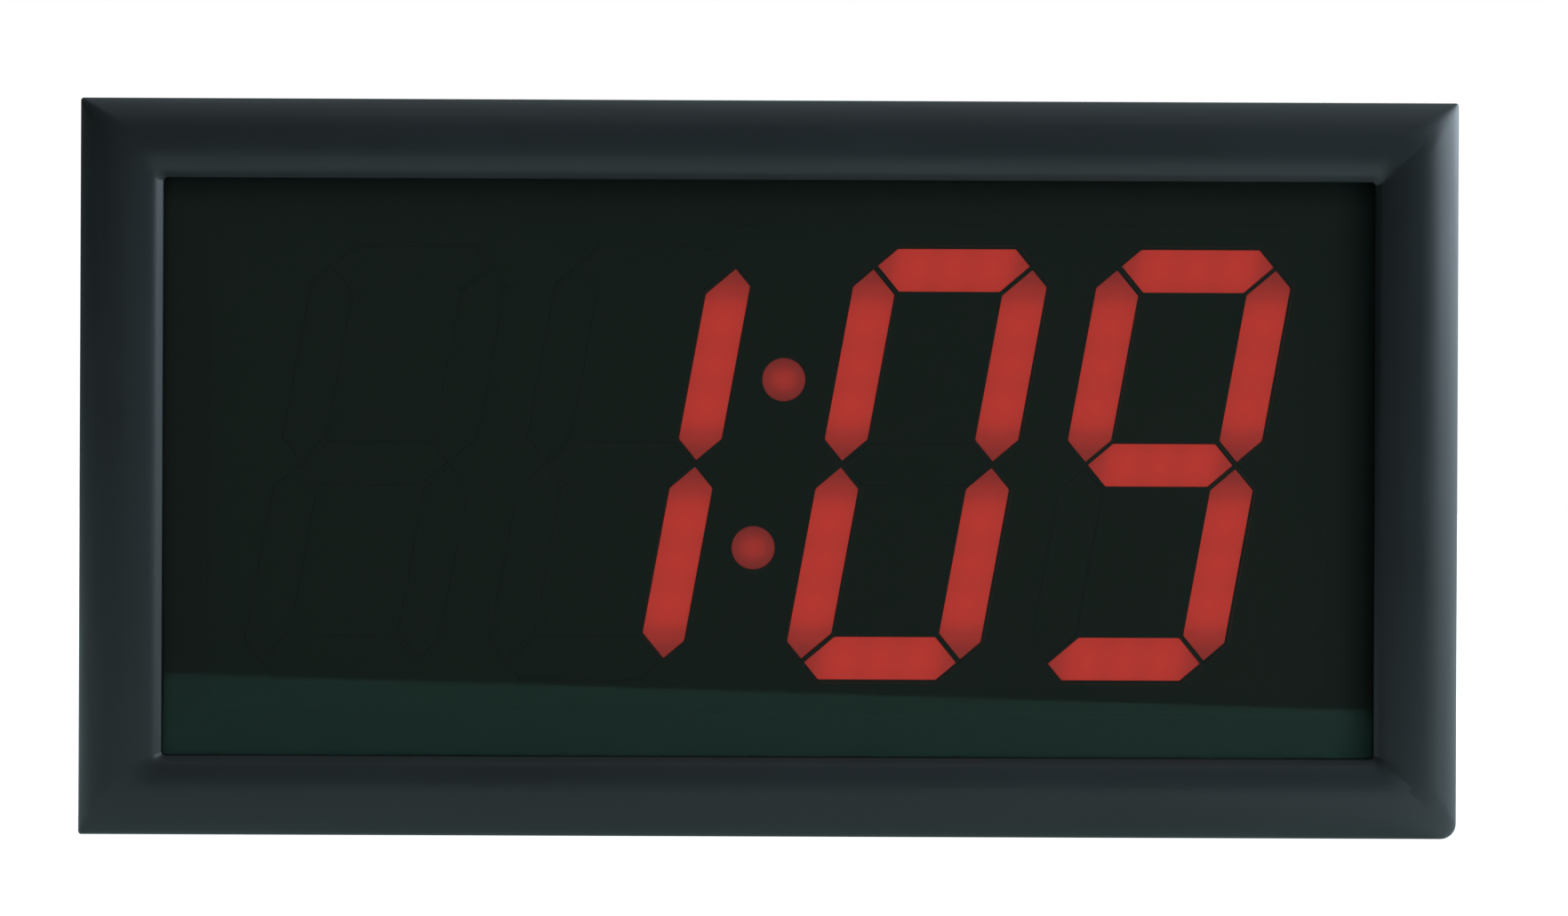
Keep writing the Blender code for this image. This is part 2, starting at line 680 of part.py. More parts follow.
def case_additions():
    """Screw posts, board standoffs, the speaker's ring and the control board's guides."""
    into_wall = CASE_BACK - CASE_WALL / 2
    added = []
    for x, z in post_places():
        added.append(rod("post", (x, CASE_FRONT, z), (x, into_wall, z), POST_RADIUS, None, 16))
    for x, z in main_board_corners():
        start, end = (x, MAIN_BOARD_FRONT + BOARD_THICKNESS + GAP, z), (x, into_wall, z)
        added.append(rod("board_standoff", start, end, 3 * MM, None, 10))
    height = 5 * MM
    ring = [(27.2 * MM, height), (27.2 * MM, 0), (25.6 * MM, 0), (25.6 * MM, height)]
    base = (SPEAKER[0], into_wall, SPEAKER[1])
    added.append(turned("ring", base, (0, -1, 0), ring, None, 24, closed=True))
    inner = CONTROL_BOARD_X - GAP
    outer = CONTROL_BOARD_TOP + GAP
    for z in (-66 * MM, 66 * MM):
        for x0, x1 in ((inner - 2 * MM, inner), (outer, outer + 2 * MM)):
            low, high = (x0, CONTROL_BACK - 6 * MM, z - 3 * MM), (x1, into_wall, z + 3 * MM)
            added.append(box("guide", low, high, None))
    return added


def keyhole_outline(x, z):
    """A round hole for a screw's head with a narrow slot above it for its shank."""
    spread = math.degrees(math.asin(KEYHOLE_SLOT / KEYHOLE_HEAD))
    points = arc((x, z), KEYHOLE_HEAD, 90 + spread, 450 - spread, 14)
    return points + arc((x, z + KEYHOLE_RISE), KEYHOLE_SLOT, 0, 180, 5)


def back_cutters():
    """Openings through the back wall: keyholes, speaker grille, screw wells and label recess."""
    start = CASE_BACK - 2 * CASE_WALL
    reach = 4 * CASE_WALL
    keyholes = [keyhole_outline(s * KEYHOLE_X, KEYHOLE_Z) for s in (-1, 1)]
    cutters = [front_plate("keyholes", keyholes, start, reach, None)]
    bars = []
    for k in range(-3, 4):
        x = k * 5.6 * MM
        half = math.sqrt((20 * MM) ** 2 - x**2)
        bars.append(slot(half, 1.0 * MM, (x, 0)))
    cutters.append(front_plate("grille", bars, start, reach, None, SPEAKER))
    for x, z in post_places():
        profile = [
            (0, CASE_BACK + MM - CASE_FRONT),
            (WELL_RADIUS, CASE_BACK + MM - CASE_FRONT),
            (WELL_RADIUS, WELL_FLOOR - CASE_FRONT),
            (CLEARANCE_RADIUS, WELL_FLOOR - CASE_FRONT),
            (CLEARANCE_RADIUS, -MM),
            (0, -MM),
        ]
        cutters.append(turned("well", (x, CASE_FRONT, z), (0, 1, 0), profile, None, 12))
    low, high = (35 * MM, CASE_BACK - 0.6 * MM, -38 * MM), (115 * MM, CASE_BACK + MM, 2 * MM)
    cutters.append(box("label_recess", low, high, None))
    for x, z in main_board_corners()[:2]:
        begin, end = (x, MAIN_BOARD_FRONT, z), (x, CASE_BACK - CASE_WALL, z)
        cutters.append(rod("board_pilot", begin, end, SMALL_PILOT + GAP, None, 8))
    return cutters


def side_cutters():
    """Openings through the side walls and the vents in the top."""
    low_x, high_x = WALL_IN - 2 * MM, WALL_OUT + 2 * MM
    right = [
        circle(BUTTON_HOLE, 16, (0, START_Z)),
        circle(BUTTON_HOLE, 16, (0, RESET_Z)),
        rectangle_at(1.9 * MM, 4.4 * MM, ROUND_Z),
        rectangle_at(1.9 * MM, 4.4 * MM, REST_Z),
        rectangle_at(2.1 * MM, 9.0 * MM, VOLUME_Z),
        rectangle_at(5.2 * MM, 8.5 * MM, POWER_Z),
    ]
    left = [circle(5.0 * MM, 16, (0, JACK_Z))]
    centre = (SIDE_CENTRE, 0.0)
    cutters = [
        side_plate("right_openings", right, low_x, high_x, None, centre),
        side_plate("left_openings", left, -high_x, -low_x, None, centre),
    ]
    z = CASE_HALF_Z
    for k in range(10):
        x = (k - 4.5) * 10 * MM
        low, high = (x - 1.2 * MM, 33 * MM, z - 5 * MM), (x + 1.2 * MM, 47 * MM, z + 2 * MM)
        cutters.append(box("vent", low, high, None))
    return cutters


def rectangle_at(half_y, half_z, z):
    return [(half_y, z + half_z), (-half_y, z + half_z), (-half_y, z - half_z), (half_y, z - half_z)]


def rear_case():
    case = case_shell()
    boolean(case, "UNION", case_additions())
    boolean(case, "DIFFERENCE", back_cutters() + side_cutters())


# --- fasteners -----------------------------------------------------------------------------------


def screw_mesh(name, head, height, shank, length):
    """A pan-head screw along +Z with its head's underside at the origin and a cross recess."""
    profile = [
        (0, height),
        (head * 0.7, height),
        (head, height * 0.55),
        (head, 0),
        (shank, 0),
        (shank, -length + shank),
        (0, -length),
    ]
    blank = turned(f"{name}_blank", (0, 0, 0), (0, 0, 1), profile, None, 10)
    blank.location = (0, 0, 0)
    blank.rotation_quaternion = (1, 0, 0, 0)
    bars = []
    for half_x, half_y in ((head * 0.6, head * 0.14), (head * 0.14, head * 0.6)):
        bm = bmesh.new()
        bmesh.ops.create_cube(bm, size=2)
        bmesh.ops.scale(bm, vec=(half_x, half_y, height * 0.5), verts=bm.verts)
        bars.append(place(f"{name}_recess", mesh_of(name, bm), None, (0, 0, height)))
    boolean(blank, "DIFFERENCE", bars)
    bpy.context.view_layer.update()
    evaluated = blank.evaluated_get(bpy.context.evaluated_depsgraph_get())
    mesh = bpy.data.meshes.new_from_object(evaluated)
    for helper in (blank, *bars):
        bpy.data.objects.remove(helper)
    return mesh


def drive(mesh, name, x, seat, z):
    """Puts a screw with its head on a seat at a depth, driven towards the front."""
    screw = place(name, mesh, "zinc_steel", at(x, seat + GAP, z))
    screw.rotation_euler = (-math.pi / 2, 0, 0)


def fasteners():
    long_screw = screw_mesh("case_screw", 2.7 * MM, 2.0 * MM, 1.2 * MM, 20 * MM)
    short_screw = screw_mesh("small_screw", 2.1 * MM, 1.4 * MM, 0.9 * MM, 6.5 * MM)
    for k, (x, z) in enumerate(post_places(), 1):
        drive(long_screw, f"case_screw_{k}", x, WELL_FLOOR, z)
    corners = [(sx, sz) for sz in (1, -1) for sx in (-1, 1)]
    for k, (sx, sz) in enumerate(corners, 1):
        seat = MASK_FRONT + MASK_THICKNESS
        drive(short_screw, f"mask_screw_{k}", sx * EAR_X, seat, sz * EAR_Z)
        seat = BOARD_FRONT + BOARD_THICKNESS
        drive(short_screw, f"board_screw_{k}", sx * STANDOFF[0], seat, sz * STANDOFF[1])
    for k, (x, z) in enumerate(main_board_corners()[:2], 1):
        screw = place(f"main_board_screw_{k}", short_screw, "zinc_steel")
        screw.location = at(x, MAIN_BOARD_FRONT - GAP, z)
        screw.rotation_euler = (math.pi / 2, 0, 0)


# --- electronics ---------------------------------------------------------------------------------


def main_board_corners():
    """Screws at the top two corners, rests at the bottom two."""
    x, z = MAIN_BOARD_SIZE[0] / 2 - 5 * MM, MAIN_BOARD_SIZE[1] / 2 - 5 * MM
    cx, cz = MAIN_BOARD
    return [(cx - x, cz + z), (cx + x, cz + z), (cx - x, cz - z), (cx + x, cz - z)]


def main_board():
    """The control electronics, with parts towards the display and headers at its edges."""
    cx, cz = MAIN_BOARD
    holes = [moved(circle(1.3 * MM, 10), x - cx, z - cz) for x, z in main_board_corners()[:2]]
    outline = rectangle(MAIN_BOARD_SIZE[0] / 2, MAIN_BOARD_SIZE[1] / 2, MM)
    board = front_plate(
        "main_board",
        [outline, *holes],
        MAIN_BOARD_FRONT,
        BOARD_THICKNESS,
        "board_green",
        MAIN_BOARD,
    )
    sunk = MAIN_BOARD_FRONT + 0.5 * MM
    parts = {  # name: (x, z, half x, half z, height)
        "ribbon_header": (RIBBON_X, MAIN_HEADER_Z, 11 * MM, 2.5 * MM, HEADER_HEIGHT),
        "processor": (20 * MM, 2 * MM, 7 * MM, 7 * MM, 1.6 * MM),
        "driver_chip": (46 * MM, 2 * MM, 9 * MM, 4 * MM, 2.2 * MM),
        "control_header": (76 * MM, -10 * MM, 3.5 * MM, 6 * MM, HEADER_HEIGHT + MM),
        "speaker_header": (-16 * MM, -12 * MM, 3 * MM, 4 * MM, HEADER_HEIGHT + MM),
        "power_header": (-16 * MM, -30 * MM, 3 * MM, 5 * MM, HEADER_HEIGHT + MM),
        "heat_sink": (4 * MM, -32 * MM, 8 * MM, 1.5 * MM, 9 * MM),
    }
    added = []
    for name, (x, z, half_x, half_z, height) in parts.items():
        low = (x - half_x, MAIN_BOARD_FRONT - height, z - half_z)
        added.append(box(name, low, (x + half_x, sunk, z + half_z), None))
    for x in (2 * MM, 14 * MM):
        start, end = (x, sunk, -18 * MM), (x, MAIN_BOARD_FRONT - 10 * MM, -18 * MM)
        added.append(rod("capacitor", start, end, 4 * MM, None, 14))
    boolean(board, "UNION", added)


def ribbon_cable():
    """A flat cable in an easy S from the display board's header to the main board's."""
    start = BOARD_FRONT + BOARD_THICKNESS + HEADER_HEIGHT + GAP
    end = MAIN_BOARD_FRONT - HEADER_HEIGHT - GAP
    half = 0.5 * MM
    upper, lower = [], []
    steps = 10
    for k in range(steps + 1):
        t = k / steps
        depth = start + (end - start) * t
        ease = t * t * (3 - 2 * t)
        z = DISPLAY_HEADER_Z + (MAIN_HEADER_Z - DISPLAY_HEADER_Z) * ease
        slope = 6 * t * (1 - t) * (MAIN_HEADER_Z - DISPLAY_HEADER_Z) / (end - start)
        length = math.hypot(1, slope)
        upper.append((depth - half * slope / length, z + half / length))
        lower.append((depth + half * slope / length, z - half / length))
    low_x, high_x = RIBBON_X - 10 * MM, RIBBON_X + 10 * MM
    side_plate("ribbon_cable", [upper + lower[::-1]], low_x, high_x, "ribbon_grey")


def speaker():
    """A round speaker facing back through the grille: basket, paper cone and magnet."""
    x, z = SPEAKER
    face = CASE_BACK - CASE_WALL - GAP
    basket = [
        (SPEAKER_RADIUS, 0),
        (SPEAKER_RADIUS, 1.4 * MM),
        (21.0 * MM, 1.4 * MM),
        (12.0 * MM, 9.0 * MM),
        (5.0 * MM, 9.0 * MM),
        (5.0 * MM, 8.0 * MM),
        (11.3 * MM, 8.0 * MM),
        (20.0 * MM, 0.6 * MM),
        (20.0 * MM, 0),
    ]
    turned("speaker_basket", (x, face, z), (0, -1, 0), basket[::-1], "zinc_steel", 22, closed=True)
    cone = [
        (19.4 * MM, 0.4 * MM),
        (10.5 * MM, 7.0 * MM),
        (7.0 * MM, 5.4 * MM),
        (0, 4.2 * MM),
        (0, 3.4 * MM),
        (7.4 * MM, 4.6 * MM),
        (10.4 * MM, 5.8 * MM),
        (18.2 * MM, 0.4 * MM),
    ]
    loop = [(r, h) for r, h in cone]
    turned("speaker_cone", (x, face, z), (0, -1, 0), cone_ring(loop), "speaker_paper", 22)
    start, end = (x, face - 9.3 * MM, z), (x, face - 17.0 * MM, z)
    rod("speaker_magnet", start, end, 13 * MM, "ferrite", 20)


def cone_ring(loop):
    """The cone's section as one open line from axis to axis: front, round the rim, and back."""
    return [*loop[4:], *loop[:4]][::-1]


def dc_jack():
    """A barrel inlet in the left wall: body inside, nose in the wall, pin deep in the bore."""
    inside = -(WALL_IN - GAP)
    half_y, half_z = 4.5 * MM, 5.5 * MM
    low = (inside, SIDE_CENTRE - half_y, JACK_Z - half_z)
    high = (inside + 14 * MM, SIDE_CENTRE + half_y, JACK_Z + half_z)
    jack = box("dc_jack", low, high, "black_nylon")
    mouth = -(WALL_OUT + 0.2 * MM)
    start, end = (mouth, SIDE_CENTRE, JACK_Z), (inside + MM, SIDE_CENTRE, JACK_Z)
    boolean(jack, "UNION", [rod("nose", start, end, 4.6 * MM, None, 18)])
    bore_end = mouth + 9.5 * MM
    pin_tip = mouth + 5.0 * MM
    profile = [
        (0, pin_tip - mouth),
        (1.0 * MM, pin_tip - mouth),
        (1.0 * MM, bore_end - mouth),
        (3.3 * MM, bore_end - mouth),
        (3.3 * MM, -MM),
        (0, -MM),
    ]
    bore = turned("bore", (mouth, SIDE_CENTRE, JACK_Z), (1, 0, 0), profile, None, 16)
    boolean(jack, "DIFFERENCE", [bore])


def leads():
    """Internal leads, each clipped between two headers."""
    into = MAIN_BOARD_FRONT - 2.5 * MM
    right = (79.5 * MM + GAP, into, -10 * MM)
    board = (CONTROL_BOARD_X - GAP, SIDE_CENTRE, 6 * MM)
    route = [right, (92 * MM, into, -10 * MM), (112 * MM, 36 * MM, 2 * MM)]
    route += [(128 * MM, SIDE_CENTRE, 6 * MM), board]
    tube("control_lead", route, 1.6 * MM, "lead_black")
    left = -19 * MM - GAP
    route = [(left, into, -12 * MM), (-27 * MM, 36 * MM, -12 * MM)]
    route += [(-38 * MM, 39 * MM, -16 * MM), (SPEAKER[0] + 13 * MM + 2 * GAP, 39 * MM, -20 * MM)]
    tube("speaker_lead", route, 1.2 * MM, "lead_black")
    jack_back = -(WALL_IN - GAP) + 14 * MM + GAP
    route = [(jack_back, SIDE_CENTRE, JACK_Z), (-128 * MM, 41 * MM, -57 * MM)]
    route += [(-95 * MM, 45 * MM, -62 * MM), (-50 * MM, 45 * MM, -60 * MM)]
    route += [(-36 * MM, 37 * MM, -34 * MM), (left, into, -30 * MM)]
    tube("power_lead", route, 1.6 * MM, "lead_black")


# --- controls ------------------------------------------------------------------------------------


def control_board():
    """The side board that carries the switches, standing in guides on the back wall."""
    low = (CONTROL_BOARD_X, CONTROL_FRONT, -70 * MM)
    high = (CONTROL_BOARD_TOP, CONTROL_BACK, 70 * MM)
    box("control_board", low, high, "board_green")


def button(name, z, finish):
    """A round push button: cap through the wall, flange behind it, stem into its switch."""
    stem_end = SWITCH_TOP - 0.8 * MM
    flange_back, flange_front = 154.7 * MM, 156.2 * MM
    tip = CONTROL_TIP
    profile = [
        (0, tip - stem_end),
        (BUTTON_RADIUS - 0.8 * MM, tip - stem_end),
        (BUTTON_RADIUS, tip - stem_end - 0.6 * MM),
        (BUTTON_RADIUS, flange_front - stem_end),
        (5.8 * MM, flange_front - stem_end),
        (5.8 * MM, flange_back - stem_end),
        (STEM_RADIUS, flange_back - stem_end),
        (STEM_RADIUS, 0),
        (0, 0),
    ]
    turned(name, (stem_end, SIDE_CENTRE, z), (1, 0, 0), profile, finish, 20)


def tact_switch(name, z):
    """A push switch on the side board, with a bore that takes the button's stem."""
    base = CONTROL_BOARD_TOP + GAP
    low = (base, SIDE_CENTRE - 3 * MM, z - 3 * MM)
    body = box(name, low, (SWITCH_TOP, SIDE_CENTRE + 3 * MM, z + 3 * MM), "black_nylon")
    start, end = (SWITCH_TOP - 3.0 * MM, SIDE_CENTRE, z), (SWITCH_TOP + MM, SIDE_CENTRE, z)
    boolean(body, "DIFFERENCE", [rod("bore", start, end, STEM_RADIUS + GAP, None, 12)])


def slide_switch(name, z):
    """A slide switch's body on the side board, with a slot that takes the slider's stem."""
    base = CONTROL_BOARD_TOP + GAP
    low = (base, SIDE_CENTRE - 3 * MM, z - 6 * MM)
    body = box(name, low, (SWITCH_TOP, SIDE_CENTRE + 3 * MM, z + 6 * MM), "zinc_steel")
    low = (SWITCH_TOP - 2.5 * MM, SIDE_CENTRE - 1.5 * MM, z - 3.9 * MM)
    high = (SWITCH_TOP + MM, SIDE_CENTRE + 1.5 * MM, z + 3.9 * MM)
    boolean(body, "DIFFERENCE", [box("stem_slot", low, high, None)])


def slider_cap(name, z):
    """A slide switch's cap: nub through the wall, cover plate behind it, and stem."""
    z -= SLIDER_TRAVEL / 2
    low = (154.9 * MM, SIDE_CENTRE - 3.5 * MM, z - 7 * MM)
    high = (156.1 * MM, SIDE_CENTRE + 3.5 * MM, z + 7 * MM)
    cap = box(name, low, high, "grey_abs")
    low = (155.5 * MM, SIDE_CENTRE - 1.5 * MM, z - 2 * MM)
    nub = box("nub", low, (CONTROL_TIP, SIDE_CENTRE + 1.5 * MM, z + 2 * MM), None)
    low = (SWITCH_TOP - 1.5 * MM, SIDE_CENTRE - 1.2 * MM, z - 1.5 * MM)
    stem = box("stem", low, (155.5 * MM, SIDE_CENTRE + 1.2 * MM, z + 1.5 * MM), None)
    boolean(cap, "UNION", [nub, stem])


def volume_control():
    """An edge wheel for volume, on a potentiometer on the side board."""
    base = CONTROL_BOARD_TOP + GAP
    pot_front, pot_back = 34.0 * MM, 37.6 * MM
    low = (base, pot_front, VOLUME_Z - 7 * MM)
    pot = box("volume_pot", low, (WHEEL_X + 5 * MM, pot_back, VOLUME_Z + 7 * MM), "black_nylon")
    start = (WHEEL_X, pot_front - MM, VOLUME_Z)
    end = (WHEEL_X, pot_back + MM, VOLUME_Z)
    boolean(pot, "DIFFERENCE", [rod("pot_bore", start, end, 2.4 * MM, None, 14)])
    half, axle = 1.5 * MM, 1.9 * MM
    back = 3.0 * MM
    profile = [
        (0, back),
        (axle, back),
        (axle, half),
        (WHEEL_RADIUS - 0.4 * MM, half),
        (WHEEL_RADIUS, half - 0.4 * MM),
        (WHEEL_RADIUS, -half + 0.4 * MM),
        (WHEEL_RADIUS - 0.4 * MM, -half),
        (axle, -half),
        (axle, pot_front + 0.4 * MM - SIDE_CENTRE),
        (0, pot_front + 0.4 * MM - SIDE_CENTRE),
    ]
    turned("volume_wheel", (WHEEL_X, SIDE_CENTRE, VOLUME_Z), (0, 1, 0), profile, "black_nylon", 26)


def power_switch():
    """A rocker switch snapped into the side wall: body with a flange, and the tilted rocker."""
    half_y, half_z = 4.9 * MM, 8.2 * MM
    back = 146.0 * MM
    low = (back, SIDE_CENTRE - half_y, POWER_Z - half_z)
    high = (WALL_OUT + MM, SIDE_CENTRE + half_y, POWER_Z + half_z)
    body = box("power_switch_body", low, high, "black_nylon")
    flange_low = (WALL_OUT + GAP, SIDE_CENTRE - 6.1 * MM, POWER_Z - 9.4 * MM)
    flange_high = (WALL_OUT + 1.3 * MM, SIDE_CENTRE + 6.1 * MM, POWER_Z + 9.4 * MM)
    added = [box("flange", flange_low, flange_high, None)]
    for z in (POWER_Z - 4 * MM, POWER_Z + 4 * MM):
        blade_low = (CONTROL_BOARD_TOP + GAP, SIDE_CENTRE - 2 * MM, z - 0.4 * MM)
        added.append(box("blade", blade_low, (back + MM, SIDE_CENTRE + 2 * MM, z + 0.4 * MM), None))
    boolean(body, "UNION", added)
    pocket_low = (150.5 * MM, SIDE_CENTRE - 4.0 * MM, POWER_Z - 6.9 * MM)
    pocket_high = (WALL_OUT + 3 * MM, SIDE_CENTRE + 4.0 * MM, POWER_Z + 6.9 * MM)
    pocket = box("pocket", pocket_low, pocket_high, None)
    ends = [(ROCKER_X, SIDE_CENTRE + s * 4.6 * MM, POWER_Z) for s in (-1, 1)]
    boolean(body, "DIFFERENCE", [pocket, rod("pin_hole", *ends, 1.3 * MM, None, 12)])

    # The rocker's outline is drawn about its hinge as (x, z), for the middle of its travel.
    outline = [(5.0, 5.9), (4.2, 3.0), (3.9, 0), (4.2, -3.0), (5.0, -5.9)]
    outline += [(0.5, -5.6), (-2.0, -2.5), (-2.0, 2.5), (0.5, 5.6)]
    points = [(x * MM, z * MM) for x, z in outline]
    front, middle = SIDE_CENTRE - 3.7 * MM, (ROCKER_X, POWER_Z)
    rocker = front_plate("power_rocker", [points], front, 7.4 * MM, "black_nylon", middle)
    rocker.rotation_euler = (math.pi / 2, ROCKER_TILT, 0)
    ends = [(ROCKER_X, SIDE_CENTRE + s * 4.3 * MM, POWER_Z) for s in (-1, 1)]
    boolean(rocker, "UNION", [rod("pin", *ends, 0.9 * MM, None, 12)])


def feet():
    """Two feet under the case, level with the bezel's bottom edge."""
    for k, sx in enumerate((-1, 1), 1):
        start = (sx * FOOT_X, 45 * MM, -FRAME_HEIGHT / 2)
        end = (sx * FOOT_X, 45 * MM, -CASE_HALF_Z - GAP)
        rod(f"rubber_foot_{k}", start, end, 5 * MM, "black_rubber", 18)


front_bezel()
window()
display_mask()
for number, digit_x in enumerate(DIGIT_CENTRES, 1):
    shapes = list(segment_outlines().values())
    wells = list(segment_outlines(APERTURE_CLEARANCE).values())
    diffuser(f"digit_diffuser_{number}", digit_x, shapes, WEB_HALF)
    reflector(f"digit_reflector_{number}", digit_x, wells, WEB_HALF)
diffuser("colon_diffuser", 0.0, colon_outlines(COLON_RADIUS), COLON_WEB_HALF)
reflector("colon_reflector", 0.0, colon_outlines(COLON_RADIUS), COLON_WEB_HALF)
display_board()
main_board()
ribbon_cable()
speaker()
rear_case()
dc_jack()
control_board()
button("start_button", START_Z, "button_red")
button("reset_button", RESET_Z, "grey_abs")
tact_switch("start_switch", START_Z)
tact_switch("reset_switch", RESET_Z)
slide_switch("round_length_switch", ROUND_Z)
slide_switch("rest_length_switch", REST_Z)
slider_cap("round_length_slider", ROUND_Z)
slider_cap("rest_length_slider", REST_Z)
volume_control()
power_switch()
leads()
feet()
fasteners()
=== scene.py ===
"""Looks of a gym round timer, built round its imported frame.

Front bezel, window, digits, case, controls, and the stage they are seen on.
"""

import json
import math
import bmesh
import bpy
from mathutils import Matrix, Vector

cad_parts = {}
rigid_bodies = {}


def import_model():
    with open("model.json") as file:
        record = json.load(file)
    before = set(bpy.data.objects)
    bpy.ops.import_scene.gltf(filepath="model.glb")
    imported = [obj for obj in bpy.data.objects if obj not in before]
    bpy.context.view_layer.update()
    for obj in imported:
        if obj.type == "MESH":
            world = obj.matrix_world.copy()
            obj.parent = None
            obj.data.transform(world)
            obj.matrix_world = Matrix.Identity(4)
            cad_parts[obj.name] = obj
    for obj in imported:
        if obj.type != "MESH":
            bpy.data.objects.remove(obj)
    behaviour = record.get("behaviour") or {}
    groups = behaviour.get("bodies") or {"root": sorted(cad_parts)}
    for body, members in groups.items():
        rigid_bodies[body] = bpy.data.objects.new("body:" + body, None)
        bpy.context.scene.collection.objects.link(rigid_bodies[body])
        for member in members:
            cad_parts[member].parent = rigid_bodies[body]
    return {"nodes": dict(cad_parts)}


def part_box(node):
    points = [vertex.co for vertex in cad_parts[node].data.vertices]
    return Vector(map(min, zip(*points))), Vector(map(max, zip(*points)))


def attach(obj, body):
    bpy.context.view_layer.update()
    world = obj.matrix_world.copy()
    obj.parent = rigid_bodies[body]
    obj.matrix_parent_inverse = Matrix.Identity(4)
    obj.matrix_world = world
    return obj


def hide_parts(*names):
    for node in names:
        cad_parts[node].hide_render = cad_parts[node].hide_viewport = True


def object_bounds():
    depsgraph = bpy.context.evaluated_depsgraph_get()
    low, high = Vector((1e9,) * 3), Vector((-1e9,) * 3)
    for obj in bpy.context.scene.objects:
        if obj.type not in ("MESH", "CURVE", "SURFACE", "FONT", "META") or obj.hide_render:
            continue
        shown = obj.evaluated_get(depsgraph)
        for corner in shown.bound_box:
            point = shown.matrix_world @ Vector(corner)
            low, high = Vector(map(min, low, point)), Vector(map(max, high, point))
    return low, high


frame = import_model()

START_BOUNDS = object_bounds()
LOW, HIGH = (Vector(corner) for corner in START_BOUNDS)
MIDDLE = (LOW + HIGH) / 2
NODES = frame["nodes"]
MM = 0.001

# The frame's outline and the window's opening, in mm.
HALF_X = (HIGH.x - LOW.x) / 2 / MM
HALF_Z = (HIGH.z - LOW.z) / 2 / MM
OPENING_X, OPENING_Z = 141.07, 67.2
SIDE_BAND = HALF_X - OPENING_X
SQUEEZE = (HALF_Z - OPENING_Z) / SIDE_BAND

# Bezel section, in mm: out from the opening's edge, and depth back from the crown.
CROWN_OUT = 7.93
SLOPE_RADIUS, SLOPE_ANGLE = 13.0, 24.0  # from the crown inwards, up to this angle
RIM_RADIUS, RIM_ANGLE = 5.0, 46.0  # the rim turns on to this angle, then runs straight to the bead
BEAD_RADIUS = 0.4
DOME_DROP = 7.5
WALL = 2.4
BEZEL_DEPTH = 24.0
LIP_DEPTH = 4.45
PANE_FORWARD = 0.4  # the window sits this much closer under the lip than its solid does
REBATE_OUT, REBATE_WALL, REBATE_DEPTH = 8.53, 2.0, 14.0
INNER_CORNER, OUTER_CORNER = 0.9, 0.7
WORN_CORNER = 3.6  # the low right corner is rounder than the others
SOFT_MITRE = 4.5  # the crown turns its corners on this much more radius

# Digits, in mm.
DIGIT_HALF_WIDTH, DIGIT_HALF_HEIGHT = 17.86, 45.96
SEGMENT_THICKNESS = 10.05
SEGMENT_GAP = 1.2
CORNER_CUT = 8.95
SLANT = 0.1825
DIGIT_CENTRES = (-93.1, -35.25, 35.25, 93.1)
LENS_SHIFTS = (0.0, 0.0, -0.2, -0.28)  # how far each digit's lenses sit off its centre
DIGIT_RISE = 1.1
DOT_RADIUS, DOT_SIDES = 5.1, 40
DOT_CENTRES = ((3.43, 19.94), (-3.67, -19.92))
LENS_FRONT = 14.6
LENS_DEPTHS = (2.2, 0.3, 0.08, 0.0)  # a lens's rings behind its front, from the web forward
LENS_INSETS = (0.0, 0.0, 0.1, 0.3)  # and how far each ring lies inside the outline
WEB_FRONT, WEB_BACK = 16.6, 17.6
DIGIT_WEB = (25.0, 52.5)  # half width and half height
COLON_WEB = (8.5, 30.0)
SHOWN = (None, "1", "0", "9")
LIT = {"1": "bc", "0": "abcdef", "9": "abcdfg"}

# The case and its controls, in mm.
CASE_X, CASE_Z = HALF_X - 2.8, HALF_Z - 2.8
CASE_FRONT, CASE_BACK = 16.6, 56.0
CASE_WALL = 2.0
CASE_EDGE, CASE_CORNER = 1.3, 1.8
CONTROL_DEPTH = 40.0
WALL_OUT, WALL_IN = CASE_X, CASE_X - CASE_WALL
CONTROL_TIP = HALF_X - 0.5
BUTTONS = {"start": 56.0, "reset": 38.0}
SLIDERS = {"round_length": 19.0, "rest_length": 0.0}
SLIDER_LOW = 2.0  # a slider rests this far below the middle of its slot
VOLUME_Z, WHEEL_RADIUS = -24.0, 10.0
POWER_Z, ROCKER_X, ROCKER_TILT = -54.0, 155.0, math.radians(9.0)
JACK_Z = -54.0
BUTTON_HOLE, JACK_HOLE = 4.6, 5.0
SLIDER_HOLE, WHEEL_HOLE, ROCKER_HOLE = (1.9, 4.4), (2.1, 9.0), (5.2, 8.5)  # half sizes
PANEL_HALF, PANEL_Z, PANEL_DEPTH = (7.6, 34.5), 28.0, 0.35  # recess round buttons and sliders
VENTS, VENT_PITCH, VENT_HALF, VENT_RADIUS = 10, 10.0, 7.0, 1.2
POST_INSET, POST_RADIUS = 7.1, 4.2
SCREW_HOLE, WELL_RADIUS, WELL_FLOOR = 1.8, 3.1, 30.0
KEYHOLE_X, KEYHOLE_Z = 100.0, 38.0
KEYHOLE_HEAD, KEYHOLE_SLOT, KEYHOLE_RISE = 4.5, 2.5, 9.0
SPEAKER = (-70.0, -20.0)
GRILLE_RADIUS, GRILLE_PITCH, GRILLE_SLOT = 20.0, 5.6, 1.0
LABEL, LABEL_DEPTH, LABEL_CORNER = (35.0, 115.0, -38.0, 2.0), 0.6, 2.0
FOOT_X, FOOT_DEPTH = 120.0, 45.0

